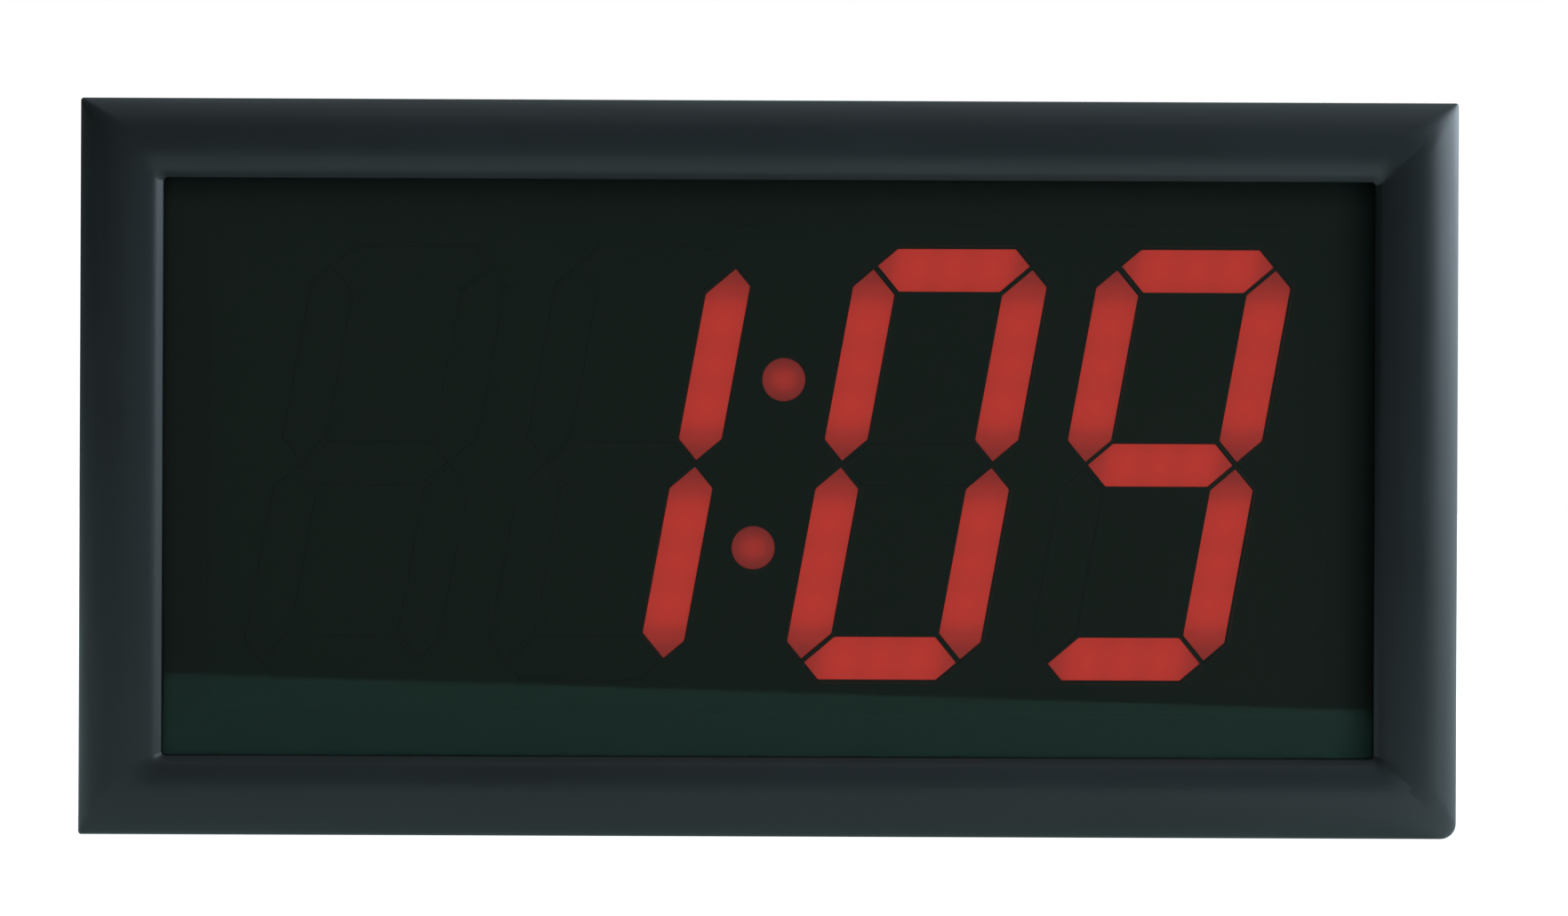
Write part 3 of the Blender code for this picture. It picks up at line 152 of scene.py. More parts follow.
# Looks, tried out against each other. A reach across a bar is a fraction of its width.
BEZEL_COLOURS = ((0.0085, 0.0105, 0.0112), (0.0112, 0.0142, 0.0152))
BEZEL_ROUGHNESS = 0.40
BEZEL_SPECULAR = 0.5
RIM_POLISH, RIM_POLISH_REACH = 0.40, (0.03, 0.09)  # the upright rims are rubbed glossier
SHADED_SLOPE_SHINE, SHADED_SLOPE_REACH = 0.68, (0.50, 0.75)  # painted shade: the right bar's inner slope is given less shine
WINDOW_COLOURS = ((0.0195, 0.0108, 0.0082), (0.0220, 0.0124, 0.0098))
WINDOW_TINT = (0.35, 1.0, 0.80, 1.0)
WINDOW_ALPHA = 0.45
WINDOW_SPECULAR = 0.5
# Painted shade: the window's colour and shine fall off towards its right and top edges.
WINDOW_SIDE_SHADE = (0.42, 8.0, 1.0)  # level at the right edge, and its start and end from it, mm
WINDOW_HEAD_SHADE = (0.6, 6.0, 1.0)  # and the same for the top edge
LIT_COLOUR = (1.0, 0.060, 0.045)
LIT_STRENGTH = 1.47
SEGMENT_STOPS = (
    (0.0, 1.0),
    (0.2, 0.93),
    (0.42, 1.0),
    (0.58, 0.94),
    (0.76, 0.68),
    (0.92, 0.48),
    (1.0, 0.43),
)
DOT_STOPS = ((0.0, 0.71), (0.40, 0.61), (0.68, 0.43), (1.0, 0.31))
LEVEL_GLOW = 0.86  # a level segment is lit further out than an upright one
MASK_COLOUR = (0.0075, 0.0230, 0.0065)
FOAM_COLOUR = (0.0050, 0.0050, 0.0100)
FLOOR_GLOW = (0.238, 0.34, 0.34)

# The room's light, as (place from left to right, level), and its tint at both sides.
ROOM = (
    (0.0, 0.03),
    (0.10, 0.09),
    (0.22, 0.18),
    (0.40, 0.29),
    (0.5, 0.31),
    (0.85, 0.36),
    (1.0, 0.55),
)
ROOM_LEFT, ROOM_RIGHT = (0.90, 1.0, 1.02), (0.76, 1.0, 1.10)
ROOM_TINT_END = 0.45  # the right side's tint is reached here
# Each lamp's name, place, aim, size, radiance and colour.
LAMPS = (
    ("window_light", (0.95, 0.15, 0.45), (-0.1, 0.15, 0.10), (1.45, 0.9), 1.06, (0.80, 0.97, 1.08)),
    ("window_top", (0.93, 0.13, 0.50), (-0.1, 0.13, 0.16), (1.34, 0.56), 3.0, (0.84, 0.97, 1.12)),
    ("ceiling_light", (0.3, 0.1, 1.35), (0.3, 0.1, 0.08), (1.8, 1.6), 0.26, (0.92, 1.0, 1.04)),
)
# The floor's front edge runs askew; mirrored in the window, it is the top of the pale band.
FLOOR_FRONT = [(-2.2, -1.13), (-0.2474, -0.5097), (0.2128, -0.3609), (2.2, 0.0)]
FLOOR_SIDE, FLOOR_BACK = 2.2, 4.0
CAMERA_DISTANCE, CAMERA_LENS, CAMERA_SENSOR = 0.65, 64.435, 36.0
CAMERA_X, CAMERA_RISE = 0.00202, 0.00248
CAMERA_YAW, CAMERA_ROLL = math.radians(0.1327), math.radians(0.2334)


# --- geometry ------------------------------------------------------------------------------------


def at(x, depth, z):
    """A point from the middle of the frame in mm, with depth measured back from the crown."""
    return Vector((MIDDLE.x + x * MM, LOW.y + depth * MM, MIDDLE.z + z * MM))


def to_mesh(name, bm):
    bmesh.ops.recalc_face_normals(bm, faces=bm.faces)
    mesh = bpy.data.meshes.new(name)
    bm.to_mesh(mesh)
    bm.free()
    return mesh


def piece(name, mesh, material, body, replaces, angle=32, weighted=True):
    """Links a mesh as a piece that rides on a body and stands for CAD nodes, which it hides.

    Edges sharper than angle, in degrees, stay sharp.
    """
    obj = bpy.data.objects.new(name, mesh)
    bpy.context.scene.collection.objects.link(obj)
    mesh.shade_smooth()
    mesh.set_sharp_from_angle(angle=math.radians(angle))
    if weighted:
        normals = obj.modifiers.new("normals", "WEIGHTED_NORMAL")
        normals.keep_sharp = True
    mesh.materials.clear()
    mesh.materials.append(material)
    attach(obj, body)
    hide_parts(*replaces)


def arc(centre, radius, start, end, steps):
    """Points along an arc, with angles in degrees from the first axis towards the second."""
    turn = (end - start) / steps
    angles = [math.radians(start + turn * k) for k in range(steps + 1)]
    return [(centre[0] + radius * math.cos(a), centre[1] + radius * math.sin(a)) for a in angles]


def rectangle(half_x, half_z, radius=0.0, steps=6, last=None):
    """Points round a rectangle with round corners; the low right one may have its own radius."""
    points = []
    for quarter, (sx, sz) in enumerate(((1, 1), (-1, 1), (-1, -1), (1, -1))):
        if quarter == 3 and last is not None:
            radius = last
        for step in range(steps + 1):
            angle = math.pi / 2 * (quarter + step / steps)
            x = sx * (half_x - radius) + radius * math.cos(angle)
            z = sz * (half_z - radius) + radius * math.sin(angle)
            points.append((x, z))
    return points


def circle(radius, sides=40, centre=(0.0, 0.0)):
    turn = 2 * math.pi / sides
    return [
        (centre[0] + radius * math.cos(k * turn), centre[1] + radius * math.sin(k * turn))
        for k in range(sides)
    ]


def loft(loops, closed=False):
    """A skin over loops of points in metres, all equally long: capped, or closed into a ring."""
    bm = bmesh.new()
    rings = [[bm.verts.new(p) for p in loop] for loop in loops]
    pairs = list(zip(rings, rings[1:]))
    if closed:
        pairs.append((rings[-1], rings[0]))
    for a, b in pairs:
        for k in range(len(a)):
            j = (k + 1) % len(a)
            bm.faces.new((a[k], a[j], b[j], b[k]))
    if not closed:
        bm.faces.new(rings[0])
        bm.faces.new(list(reversed(rings[-1])))
    return bm


def turned(name, base, direction, profile, steps=48):
    """A closed solid turned about direction from base, from (radius, height) points in mm."""
    bm = bmesh.new()
    angles = [2 * math.pi * k / steps for k in range(steps)]
    rings = []
    for r, h in profile:
        rings.append([bm.verts.new((r * math.cos(a), r * math.sin(a), h)) for a in angles])
    for a, b in zip(rings, rings[1:]):
        for k in range(steps):
            j = (k + 1) % steps
            bm.faces.new((a[k], a[j], b[j], b[k]))
    for ring, end in ((rings[0], profile[0]), (rings[-1], profile[-1])):
        tip = bm.verts.new((0, 0, end[1]))
        for k in range(steps):
            bm.faces.new((ring[k], ring[(k + 1) % steps], tip))
    turn = Vector(direction).to_track_quat("Z", "Y").to_matrix().to_4x4()
    bm.transform(Matrix.Translation(at(*base)) @ turn @ Matrix.Scale(MM, 4))
    return to_mesh(name, bm)


def rounded(bm, edges, width, segments=2):
    """Rounds the edges by a width in mm."""
    bmesh.ops.bevel(
        bm, geom=edges, offset=width * MM, segments=segments, profile=0.5, affect="EDGES"
    )


def box_mesh(name, low, high, round_by=0.0, segments=2):
    """A box between two corners in metres, with its edges rounded."""
    bm = bmesh.new()
    bmesh.ops.create_cube(bm, size=1)
    bmesh.ops.scale(bm, vec=high - low, verts=bm.verts)
    bmesh.ops.translate(bm, vec=(low + high) / 2, verts=bm.verts)
    if round_by:
        rounded(bm, bm.edges, round_by, segments)
    return to_mesh(name, bm)


def block(low, high, round_by=0.0, segments=2):
    """A box between two corners in mm, with its edges rounded."""
    return box_mesh("block", at(*low), at(*high), round_by, segments)


def prism(outline, low, high, axis="depth", round_by=0.0):
    """A prism of an outline in mm: along depth from (x, z), along x from (depth, z), or along z."""
    if axis == "depth":
        rings = [[at(a, d, b) for a, b in outline] for d in (low, high)]
    elif axis == "x":
        rings = [[at(d, a, b) for a, b in outline] for d in (low, high)]
    else:
        rings = [[at(a, b, d) for a, b in outline] for d in (low, high)]
    bm = loft(rings)
    if round_by:
        bmesh.ops.recalc_face_normals(bm, faces=bm.faces)
        rounded(bm, [e for e in bm.edges if e.calc_face_angle(0) > math.radians(35)], round_by)
    return to_mesh("prism", bm)


def rod(start, end, radius, sides=32):
    """A cylinder between two points in mm."""
    run = Vector((end[0] - start[0], end[1] - start[1], end[2] - start[2]))
    profile = [(radius, 0.0), (radius, run.length)]
    return turned("rod", start, run, profile, sides)


def slot_outline(half_length, radius, centre):
    """A long upright hole with round ends, in mm."""
    far = half_length - radius
    points = arc((0, far), radius, 0, 180, 8) + arc((0, -far), radius, 180, 360, 8)
    return [(x + centre[0], y + centre[1]) for x, y in points]


def softened(mesh, width, angle=38):
    """The mesh with its sharp edges rounded a little, as moulding leaves them."""
    bm = bmesh.new()
    bm.from_mesh(mesh)
    bmesh.ops.remove_doubles(bm, verts=bm.verts, dist=0.00001)
    bmesh.ops.dissolve_limit(
        bm,
        angle_limit=math.radians(0.8),
        verts=bm.verts,
        edges=bm.edges,
        use_dissolve_boundaries=False,
    )
    sharp = [e for e in bm.edges if e.calc_face_angle(0) > math.radians(angle)]
    bmesh.ops.bevel(
        bm,
        geom=sharp,
        offset=width * MM,
        segments=2,
        profile=0.5,
        affect="EDGES",
        clamp_overlap=True,
    )
    bm.to_mesh(mesh)
    bm.free()
    return mesh


def combined(name, mesh, others, operation):
    """The mesh joined with others, or with others cut from it."""
    base = bpy.data.objects.new(name, mesh)
    bpy.context.scene.collection.objects.link(base)
    group = bpy.data.collections.new(name + "_others")
    for other in others:
        group.objects.link(bpy.data.objects.new("other", other))
    modifier = base.modifiers.new("combine", "BOOLEAN")
    modifier.operation = operation
    modifier.operand_type = "COLLECTION"
    modifier.collection = group
    modifier.solver = "EXACT"
    bpy.context.view_layer.update()
    evaluated = base.evaluated_get(bpy.context.evaluated_depsgraph_get())
    result = bpy.data.meshes.new_from_object(evaluated)
    for other in list(group.objects):
        bpy.data.objects.remove(other)
    bpy.data.collections.remove(group)
    bpy.data.objects.remove(base)
    result.name = name
    return result


# --- materials -----------------------------------------------------------------------------------


class Nodes:
    """A short way to build one material's nodes."""

    def __init__(self, name):
        self.material = bpy.data.materials.new(name)
        self.material.use_nodes = True
        self.tree = self.material.node_tree
        self.shader = self.tree.nodes["Principled BSDF"]

    def add(self, kind, **values):
        node = self.tree.nodes.new("ShaderNode" + kind)
        for key, value in values.items():
            if hasattr(node, key):
                setattr(node, key, value)
            else:
                node.inputs[key.replace("_", " ")].default_value = value
        return node

    def link(self, source, target):
        self.tree.links.new(source, target)

    def noise(self, vector, scale, detail=2.0, roughness=0.5):
        node = self.add("TexNoise", Scale=scale, Detail=detail, Roughness=roughness)
        self.link(vector, node.inputs["Vector"])
        return node.outputs["Fac"]

    def spread(self, value, low, high, start=0.3, end=0.7):
        """Maps start to end onto low to high; the defaults suit a noise pattern."""
        node = self.add("MapRange")
        node.inputs["From Min"].default_value = start
        node.inputs["From Max"].default_value = end
        node.inputs["To Min"].default_value = low
        node.inputs["To Max"].default_value = high
        self.link(value, node.inputs["Value"])
        return node.outputs["Result"]

    def blend(self, factor, first, second):
        node = self.add("Mix", data_type="RGBA")
        node.inputs[6].default_value = (*first, 1.0)
        node.inputs[7].default_value = (*second, 1.0)
        self.link(factor, node.inputs[0])
        return node.outputs[2]

    def bump(self, height, distance, normal=None):
        node = self.add("Bump", Strength=1.0, Distance=distance)
        self.link(height, node.inputs["Height"])
        if normal:
            self.link(normal, node.inputs["Normal"])
        return node.outputs["Normal"]

    def multiply(self, first, second):
        """The product of a pattern and either a pattern or a number."""
        node = self.add("Math", operation="MULTIPLY")
        self.link(first, node.inputs[0])
        if isinstance(second, float):
            node.inputs[1].default_value = second
        else:
            self.link(second, node.inputs[1])
        return node.outputs[0]

    def scaled(self, colour, factor):
        node = self.add("VectorMath", operation="SCALE")
        self.link(colour, node.inputs[0])
        self.link(factor, node.inputs["Scale"])
        return node.outputs[0]

    def split(self, vector):
        """The X, Y and Z of a vector, as outputs by name."""
        node = self.add("SeparateXYZ")
        self.link(vector, node.inputs[0])
        return node.outputs

    def coordinates(self, output="Object", scale=(1.0, 1.0, 1.0)):
        source = self.add("TexCoord")
        mapping = self.add("Mapping", Scale=scale)
        self.link(source.outputs[output], mapping.inputs["Vector"])
        return mapping.outputs["Vector"]


def moulded(name, colour, roughness, grain=1600.0, depth=0.00002, specular=0.5, uneven=0.10):
    """Moulded plastic or rubber: spark-eroded grain, uneven gloss and faint dust."""
    n = Nodes(name)
    place = n.coordinates()
    broad = n.noise(place, 28.0, 4.0, 0.6)
    fine = n.noise(place, grain, 3.0, 0.6)
    light = [c * 1.18 + 0.0012 for c in colour]
    dark = [c * 0.85 for c in colour]
    n.link(n.blend(n.spread(broad, 0.0, 1.0), dark, light), n.shader.inputs["Base Color"])
    smudge = n.noise(place, 75.0, 5.0, 0.65)
    gloss = n.spread(smudge, roughness - uneven / 2, roughness + uneven / 2)
    n.link(gloss, n.shader.inputs["Roughness"])
    n.link(n.bump(fine, depth), n.shader.inputs["Normal"])
    n.shader.inputs["Specular IOR Level"].default_value = specular
    return n.material


def bezel_plastic():
    """Satin black moulding with faint flow lines along each bar."""
    n = Nodes("bezel_satin_black")
    flow = n.coordinates("UV", (1.0, 0.06, 1.0))
    place = n.coordinates()
    streak = n.noise(flow, 420.0, 3.0, 0.55)
    cloud = n.noise(place, 22.0, 4.0, 0.6)
    grain = n.noise(place, 2600.0, 2.0, 0.6)
    n.link(n.blend(n.spread(cloud, 0.0, 1.0), *BEZEL_COLOURS), n.shader.inputs["Base Color"])
    mixed = n.add("Math", operation="ADD")
    n.link(n.spread(streak, -0.05, 0.05), mixed.inputs[0])
    n.link(n.spread(cloud, BEZEL_ROUGHNESS - 0.03, BEZEL_ROUGHNESS + 0.03), mixed.inputs[1])
    across = n.split(n.add("UVMap", uv_map="across").outputs["UV"])["X"]
    polish = n.spread(across, RIM_POLISH, 1.0, *RIM_POLISH_REACH)
    n.link(n.multiply(mixed.outputs[0], polish), n.shader.inputs["Roughness"])
    first = n.bump(streak, 0.000006)
    n.link(n.bump(grain, 0.000004, first), n.shader.inputs["Normal"])
    slope_shade = n.add("Math", operation="MAXIMUM")  # painted shade, only right of the middle
    # painted shade: less shine on the inner half of the right bar
    n.link(n.spread(across, SHADED_SLOPE_SHINE, 1.0, *SHADED_SLOPE_REACH), slope_shade.inputs[0])
    n.link(n.spread(n.split(place)["X"], 1.0, SHADED_SLOPE_SHINE, 0.0, 0.01), slope_shade.inputs[1])
    shine = n.multiply(slope_shade.outputs[0], BEZEL_SPECULAR)
    n.link(shine, n.shader.inputs["Specular IOR Level"])
    return n.material


def window_plastic():
    """Polished smoked green sheet: part of what is behind shows through it."""
    n = Nodes("window_smoked_green")
    place = n.coordinates()
    haze = n.noise(place, 9.0, 3.0, 0.6)
    colour = n.blend(n.spread(haze, 0.0, 1.0), *WINDOW_COLOURS)
    parts = n.split(place)
    # painted shade: colour and shine darkened towards the right and top edges
    factors = []
    for axis, edge, (level, start, end) in (
        ("X", MIDDLE.x + OPENING_X * MM, WINDOW_SIDE_SHADE),
        ("Z", MIDDLE.z + OPENING_Z * MM, WINDOW_HEAD_SHADE),
    ):
        factors.append(n.spread(parts[axis], 1.0, level, edge - start * MM, edge - end * MM))
    shade = n.multiply(*factors)
    n.link(n.scaled(colour, shade), n.shader.inputs["Base Color"])
    n.link(n.multiply(shade, WINDOW_SPECULAR), n.shader.inputs["Specular IOR Level"])
    smear = n.noise(n.coordinates("Object", (1.0, 1.0, 3.0)), 45.0, 4.0, 0.6)
    n.link(n.spread(smear, 0.012, 0.035), n.shader.inputs["Roughness"])
    n.shader.inputs["Specular Tint"].default_value = WINDOW_TINT
    n.shader.inputs["Alpha"].default_value = WINDOW_ALPHA
    return n.material


def segment_light(name, stops, centred=False):
    """A lit red diffuser: brightest over its LEDs, and falling off towards its ends and edges.

    The stops give the level by distance from the middle: along a segment, or all round a dot.
    """
    n = Nodes(name)
    glow = n.add("UVMap", uv_map="glow").outputs["UV"]
    parts = n.split(glow)
    if centred:
        along = n.add("VectorMath", operation="LENGTH")
        n.link(glow, along.inputs[0])
        distance = along.outputs["Value"]
    else:
        along = n.add("Math", operation="ABSOLUTE")
        n.link(parts["X"], along.inputs[0])
        distance = along.outputs[0]
    ramp = n.add("ValToRGB")
    n.link(distance, ramp.inputs[0])
    elements = ramp.color_ramp.elements
    while len(elements) < len(stops):
        elements.new(0.5)
    for element, (position, level) in zip(elements, stops):
        element.position = position
        red, green, blue = LIT_COLOUR
        element.color = (red * level, green * level**0.7, blue * level**0.5, 1)
    ramp.color_ramp.interpolation = "EASE"
    across = n.add("Math", operation="POWER")
    n.link(parts["Y"], across.inputs[0])
    across.inputs[1].default_value = 2.0
    speckle = n.noise(n.coordinates(), 900.0, 2.0)
    fall = n.add("Math", operation="MULTIPLY_ADD")
    n.link(across.outputs[0], fall.inputs[0])
    fall.inputs[1].default_value = -0.02 if centred else -0.13
    n.link(n.spread(speckle, 0.98, 1.02), fall.inputs[2])
    light = n.scaled(ramp.outputs["Color"], fall.outputs[0])
    n.link(light, n.shader.inputs["Emission Color"])
    n.shader.inputs["Emission Strength"].default_value = LIT_STRENGTH
    n.shader.inputs["Base Color"].default_value = (0.05, 0.004, 0.003, 1)
    n.shader.inputs["Roughness"].default_value = 0.4
    return n.material


def plated_steel(name):
    """Bright zinc plate with fine turning marks."""
    n = Nodes(name)
    place = n.coordinates()
    cloud = n.noise(place, 160.0, 4.0, 0.6)
    n.link(n.blend(cloud, (0.42, 0.43, 0.45), (0.62, 0.62, 0.63)), n.shader.inputs["Base Color"])
    n.link(n.spread(cloud, 0.22, 0.42), n.shader.inputs["Roughness"])
    n.link(n.bump(n.noise(place, 5000.0, 2.0), 0.000004), n.shader.inputs["Normal"])
    n.shader.inputs["Metallic"].default_value = 1.0
    return n.material


def floor_paper():
    """White paper, seen as pure white, that lights the timer with a cooler and dimmer glow."""
    n = Nodes("floor_white_paper")
    place = n.coordinates()
    fibre = n.noise(place, 300.0, 4.0, 0.6)
    n.link(n.blend(fibre, (0.80, 0.80, 0.80), (0.84, 0.84, 0.84)), n.shader.inputs["Base Color"])
    n.link(n.spread(fibre, 0.75, 0.9), n.shader.inputs["Roughness"])
    path = n.add("LightPath")
    glow = n.blend(path.outputs["Is Camera Ray"], FLOOR_GLOW, (1.0, 1.0, 1.0))
    n.link(glow, n.shader.inputs["Emission Color"])
    n.shader.inputs["Emission Strength"].default_value = 1.0
    n.shader.inputs["Specular IOR Level"].default_value = 0.1
    return n.material


# --- front ---------------------------------------------------------------------------------------


def bezel_section():
    """The bezel's closed section as (out, depth): face, side wall, hollow channel and rebate."""
    start, end = math.radians(SLOPE_ANGLE), math.radians(RIM_ANGLE)
    rim = (
        CROWN_OUT - (SLOPE_RADIUS - RIM_RADIUS) * math.sin(start),
        SLOPE_RADIUS - (SLOPE_RADIUS - RIM_RADIUS) * math.cos(start),
    )
    rim_end = (rim[0] - RIM_RADIUS * math.sin(end), rim[1] - RIM_RADIUS * math.cos(end))
    run_in = rim_end[0] - BEAD_RADIUS * (1 - math.sin(end))
    bead = (BEAD_RADIUS, rim_end[1] + run_in * math.tan(end) + BEAD_RADIUS * math.cos(end))
    run = SIDE_BAND - CROWN_OUT
    dome_radius = (run**2 + DOME_DROP**2) / (2 * DOME_DROP)
    dome_angle = math.degrees(math.asin(run / dome_radius))
    face = arc(bead, BEAD_RADIUS, 180, 270 - RIM_ANGLE, 7)
    face += arc(rim, RIM_RADIUS, 270 - RIM_ANGLE, 270 - SLOPE_ANGLE, 8)
    face += arc((CROWN_OUT, SLOPE_RADIUS), SLOPE_RADIUS, 270 - SLOPE_ANGLE, 270, 8)[1:]
    face += arc((CROWN_OUT, dome_radius), dome_radius, 270, 270 + dome_angle - 4, 18)[1:]
    side = SIDE_BAND - WALL
    wall = side - CROWN_OUT
    under = dome_radius - WALL
    under_angle = math.degrees(math.asin(wall / under))
    channel = REBATE_OUT + REBATE_WALL
    start_angle = math.degrees(math.asin((channel - CROWN_OUT) / under))
    ceiling = arc((CROWN_OUT, dome_radius), under, 270 + under_angle, 270 + start_angle, 4)
    edge = [(SIDE_BAND - 0.12, DOME_DROP - 0.02), (SIDE_BAND, DOME_DROP + 0.45)]
    return [
        *face,
        *edge,
        (SIDE_BAND, BEZEL_DEPTH - 0.4),
        (SIDE_BAND - 0.4, BEZEL_DEPTH),
        (side, BEZEL_DEPTH),
        *ceiling,
        (channel, REBATE_DEPTH),
        (REBATE_OUT, REBATE_DEPTH),
        (REBATE_OUT, LIP_DEPTH),
        (0.0, LIP_DEPTH),
    ]


def swept_bezel():
    """The bezel's section carried round the opening.

    The flow map runs along the bars. The across map runs over the upright bars, from 0 at the
    opening to 1 outside, and is 1 on the level bars.
    """
    section = bezel_section()
    loops = []
    for out, depth in section:
        outward = max(0.0, out) / SIDE_BAND
        soft = SOFT_MITRE * math.sin(math.pi * min(1.0, outward))
        radius = INNER_CORNER + (OUTER_CORNER - INNER_CORNER) * outward + soft
        last = INNER_CORNER + (WORN_CORNER - INNER_CORNER) * outward + soft
        outline = rectangle(OPENING_X + out, OPENING_Z + out * SQUEEZE, radius, 10, last)
        loops.append([at(x, depth, z) for x, z in outline])
    bm = loft(loops, closed=True)
    count = len(loops[0])
    across_of = {v: section[i // count][0] / SIDE_BAND for i, v in enumerate(bm.verts)}
    layer = bm.loops.layers.uv.new("flow")
    across_layer = bm.loops.layers.uv.new("across")
    for face in bm.faces:
        middle = face.calc_center_median() - MIDDLE
        gap_x = HALF_X * MM - abs(middle.x)
        gap_z = HALF_Z * MM - abs(middle.z)
        upright = gap_x < gap_z
        for corner in face.loops:
            co = corner.vert.co - MIDDLE
            corner[across_layer].uv = (across_of[corner.vert] if upright else 1.0, 0.5)
            across = abs(co.x) if upright else abs(co.z) + 0.5
            corner[layer].uv = (across + 0.4 * co.y, co.z if upright else co.x + 0.7)
    mesh = to_mesh("front_bezel_skin", bm)
    finish = bezel_plastic()
    piece("front_bezel_skin", mesh, finish, "housing", ["front_bezel"], 28, False)


def window_sheet():
    low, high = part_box("window_lens")
    low.y -= PANE_FORWARD * MM
    mesh = box_mesh("window_sheet", low, high, 0.3)
    finish = window_plastic()
    piece("window_sheet", mesh, finish, "housing", ["window_lens"])


def segment_outlines(grow=0.0):
    """The seven hexagons a to g about a digit's middle, upright, each edge moved out by grow."""
    w, h = DIGIT_HALF_WIDTH, DIGIT_HALF_HEIGHT
    e = SEGMENT_THICKNESS / 2 + grow
    k = (SEGMENT_GAP - 2 * grow) / math.sqrt(2)
    cut = CORNER_CUT + (2 - math.sqrt(2)) * grow
    tip = e - cut / 2
    top = [
        (-(w + tip - k / 2), h + tip + k / 2),
        (-(w + e - cut), h + e),
        (w + e - cut, h + e),
        (w + tip - k / 2, h + tip + k / 2),
        (w - e - k, h - e),
        (-(w - e - k), h - e),
    ]
    right = [
        (w - e, h - e - k),
        (w + tip + k / 2, h + tip - k / 2),
        (w + e, h + e - cut),
        (w + e, e + k),
        (w, k),
        (w - e, e + k),
    ]
    inner = w - k - e
    middle = [(-(w - k), 0), (-inner, e), (inner, e), (w - k, 0), (inner, -e), (-inner, -e)]
    return {
        "a": top,
        "b": right,
        "c": [(x, -y) for x, y in reversed(right)],
        "d": [(x, -y) for x, y in reversed(top)],
        "e": [(-x, -y) for x, y in right],
        "f": [(-x, y) for x, y in reversed(right)],
        "g": middle,
    }


def raised_lens(bm, outlines, x, slant, long_axis, glow):
    """One diffuser: a prism from the web to a rounded front edge, with its glow map.

    The long axis is 0 for a level segment or a dot, and 1 for an upright segment.
    """
    rings = []
    for outline, behind in zip(outlines, LENS_DEPTHS):
        depth = LENS_FRONT + behind
        rings.append([at(x + a + slant * b, depth, b + DIGIT_RISE) for a, b in outline])
    first = outlines[0]
    centre = (sum(p[0] for p in first) / len(first), sum(p[1] for p in first) / len(first))
    reach = max(abs(p[long_axis] - centre[long_axis]) for p in first)
    reach /= 1.0 if long_axis else LEVEL_GLOW
    across = max(abs(p[1 - long_axis] - centre[1 - long_axis]) for p in first)
    where = {}
    made = [[bm.verts.new(p) for p in ring] for ring in rings]
    for ring, outline in zip(made, outlines):
        for vert, p in zip(ring, outline):
            along = (p[long_axis] - centre[long_axis]) / reach
            over = (p[1 - long_axis] - centre[1 - long_axis]) / across
            where[vert] = (along, over)
    faces = []
    for a, b in zip(made, made[1:]):
        for k in range(len(a)):
            j = (k + 1) % len(a)
            faces.append(bm.faces.new((a[k], a[j], b[j], b[k])))
    faces.append(bm.faces.new(made[0]))
    faces.append(bm.faces.new(list(reversed(made[-1]))))
    for face in faces:
        for corner in face.loops:
            corner[glow].uv = where[corner.vert]


def lens_mesh(name, shapes, x, slant=SLANT):
    """Raised lenses for some segments: shapes is a list of (outlines, long axis)."""
    bm = bmesh.new()
    glow = bm.loops.layers.uv.new("glow")
    for outlines, long_axis in shapes:
        raised_lens(bm, outlines, x, slant, long_axis, glow)
    return to_mesh(name, bm)


def digit_shapes(letters):
    """The lenses of some segments, each as its outlines from the web forward and its long axis."""
    steps = [segment_outlines(-inset) for inset in LENS_INSETS]
    return [([s[k] for s in steps], 0 if k in "adg" else 1) for k in letters]


def colon_shapes():
    shapes = []
    for centre in DOT_CENTRES:
        rings = [circle(DOT_RADIUS - inset, DOT_SIDES, centre) for inset in LENS_INSETS]
        shapes.append((rings, 0))
    return shapes


def web_mesh(x, half):
    """The flat plate that carries the lenses of one digit or of the colon."""
    a, b = half
    corners = [(a, b), (-a, b), (-a, -b), (a, -b)]
    outline = [(x + a + SLANT * b, b + DIGIT_RISE) for a, b in corners]
    return prism(outline, WEB_FRONT, WEB_BACK)


def digits():
    """The webs with their lenses: lit, unlit, and the two dots."""

    def diffuser(name, mesh, finish, node, angle=32):
        piece(name, mesh, finish, "housing", [node], angle)

    lit = segment_light("segment_lit_red", SEGMENT_STOPS)
    dot = segment_light("dot_lit_red", DOT_STOPS, centred=True)
    off = moulded("segment_unlit", MASK_COLOUR, 0.6, 2200, 0.00001, 0.2)
    for k, (x, shift, shown) in enumerate(zip(DIGIT_CENTRES, LENS_SHIFTS, SHOWN), 1):
        node = f"digit_diffuser_{k}"
        on = LIT.get(shown, "")
        dark = [c for c in "abcdefg" if c not in on]
        diffuser(f"digit_{k}_web", web_mesh(x, DIGIT_WEB), off, node)
        for name, letters, finish in (("unlit", dark, off), ("lit", on, lit)):
            if letters:
                mesh = lens_mesh(f"digit_{k}_{name}", digit_shapes(letters), x + shift)
                diffuser(f"digit_{k}_{name}", mesh, finish, node, 50)
    diffuser("colon_web", web_mesh(0.0, COLON_WEB), off, "colon_diffuser")
    mesh = lens_mesh("colon_dots", colon_shapes(), 0.0, slant=0.0)
    diffuser("colon_dots", mesh, dot, "colon_diffuser", 50)


# --- case, controls and fasteners ----------------------------------------------------------------


def post_places():
    """The six case screws, as (x, z): the corners, and the middle of the top and bottom."""
    x, z = HALF_X - POST_INSET, HALF_Z - POST_INSET
    return [(-x, z), (0.0, z), (x, z), (-x, -z), (0.0, -z), (x, -z)]


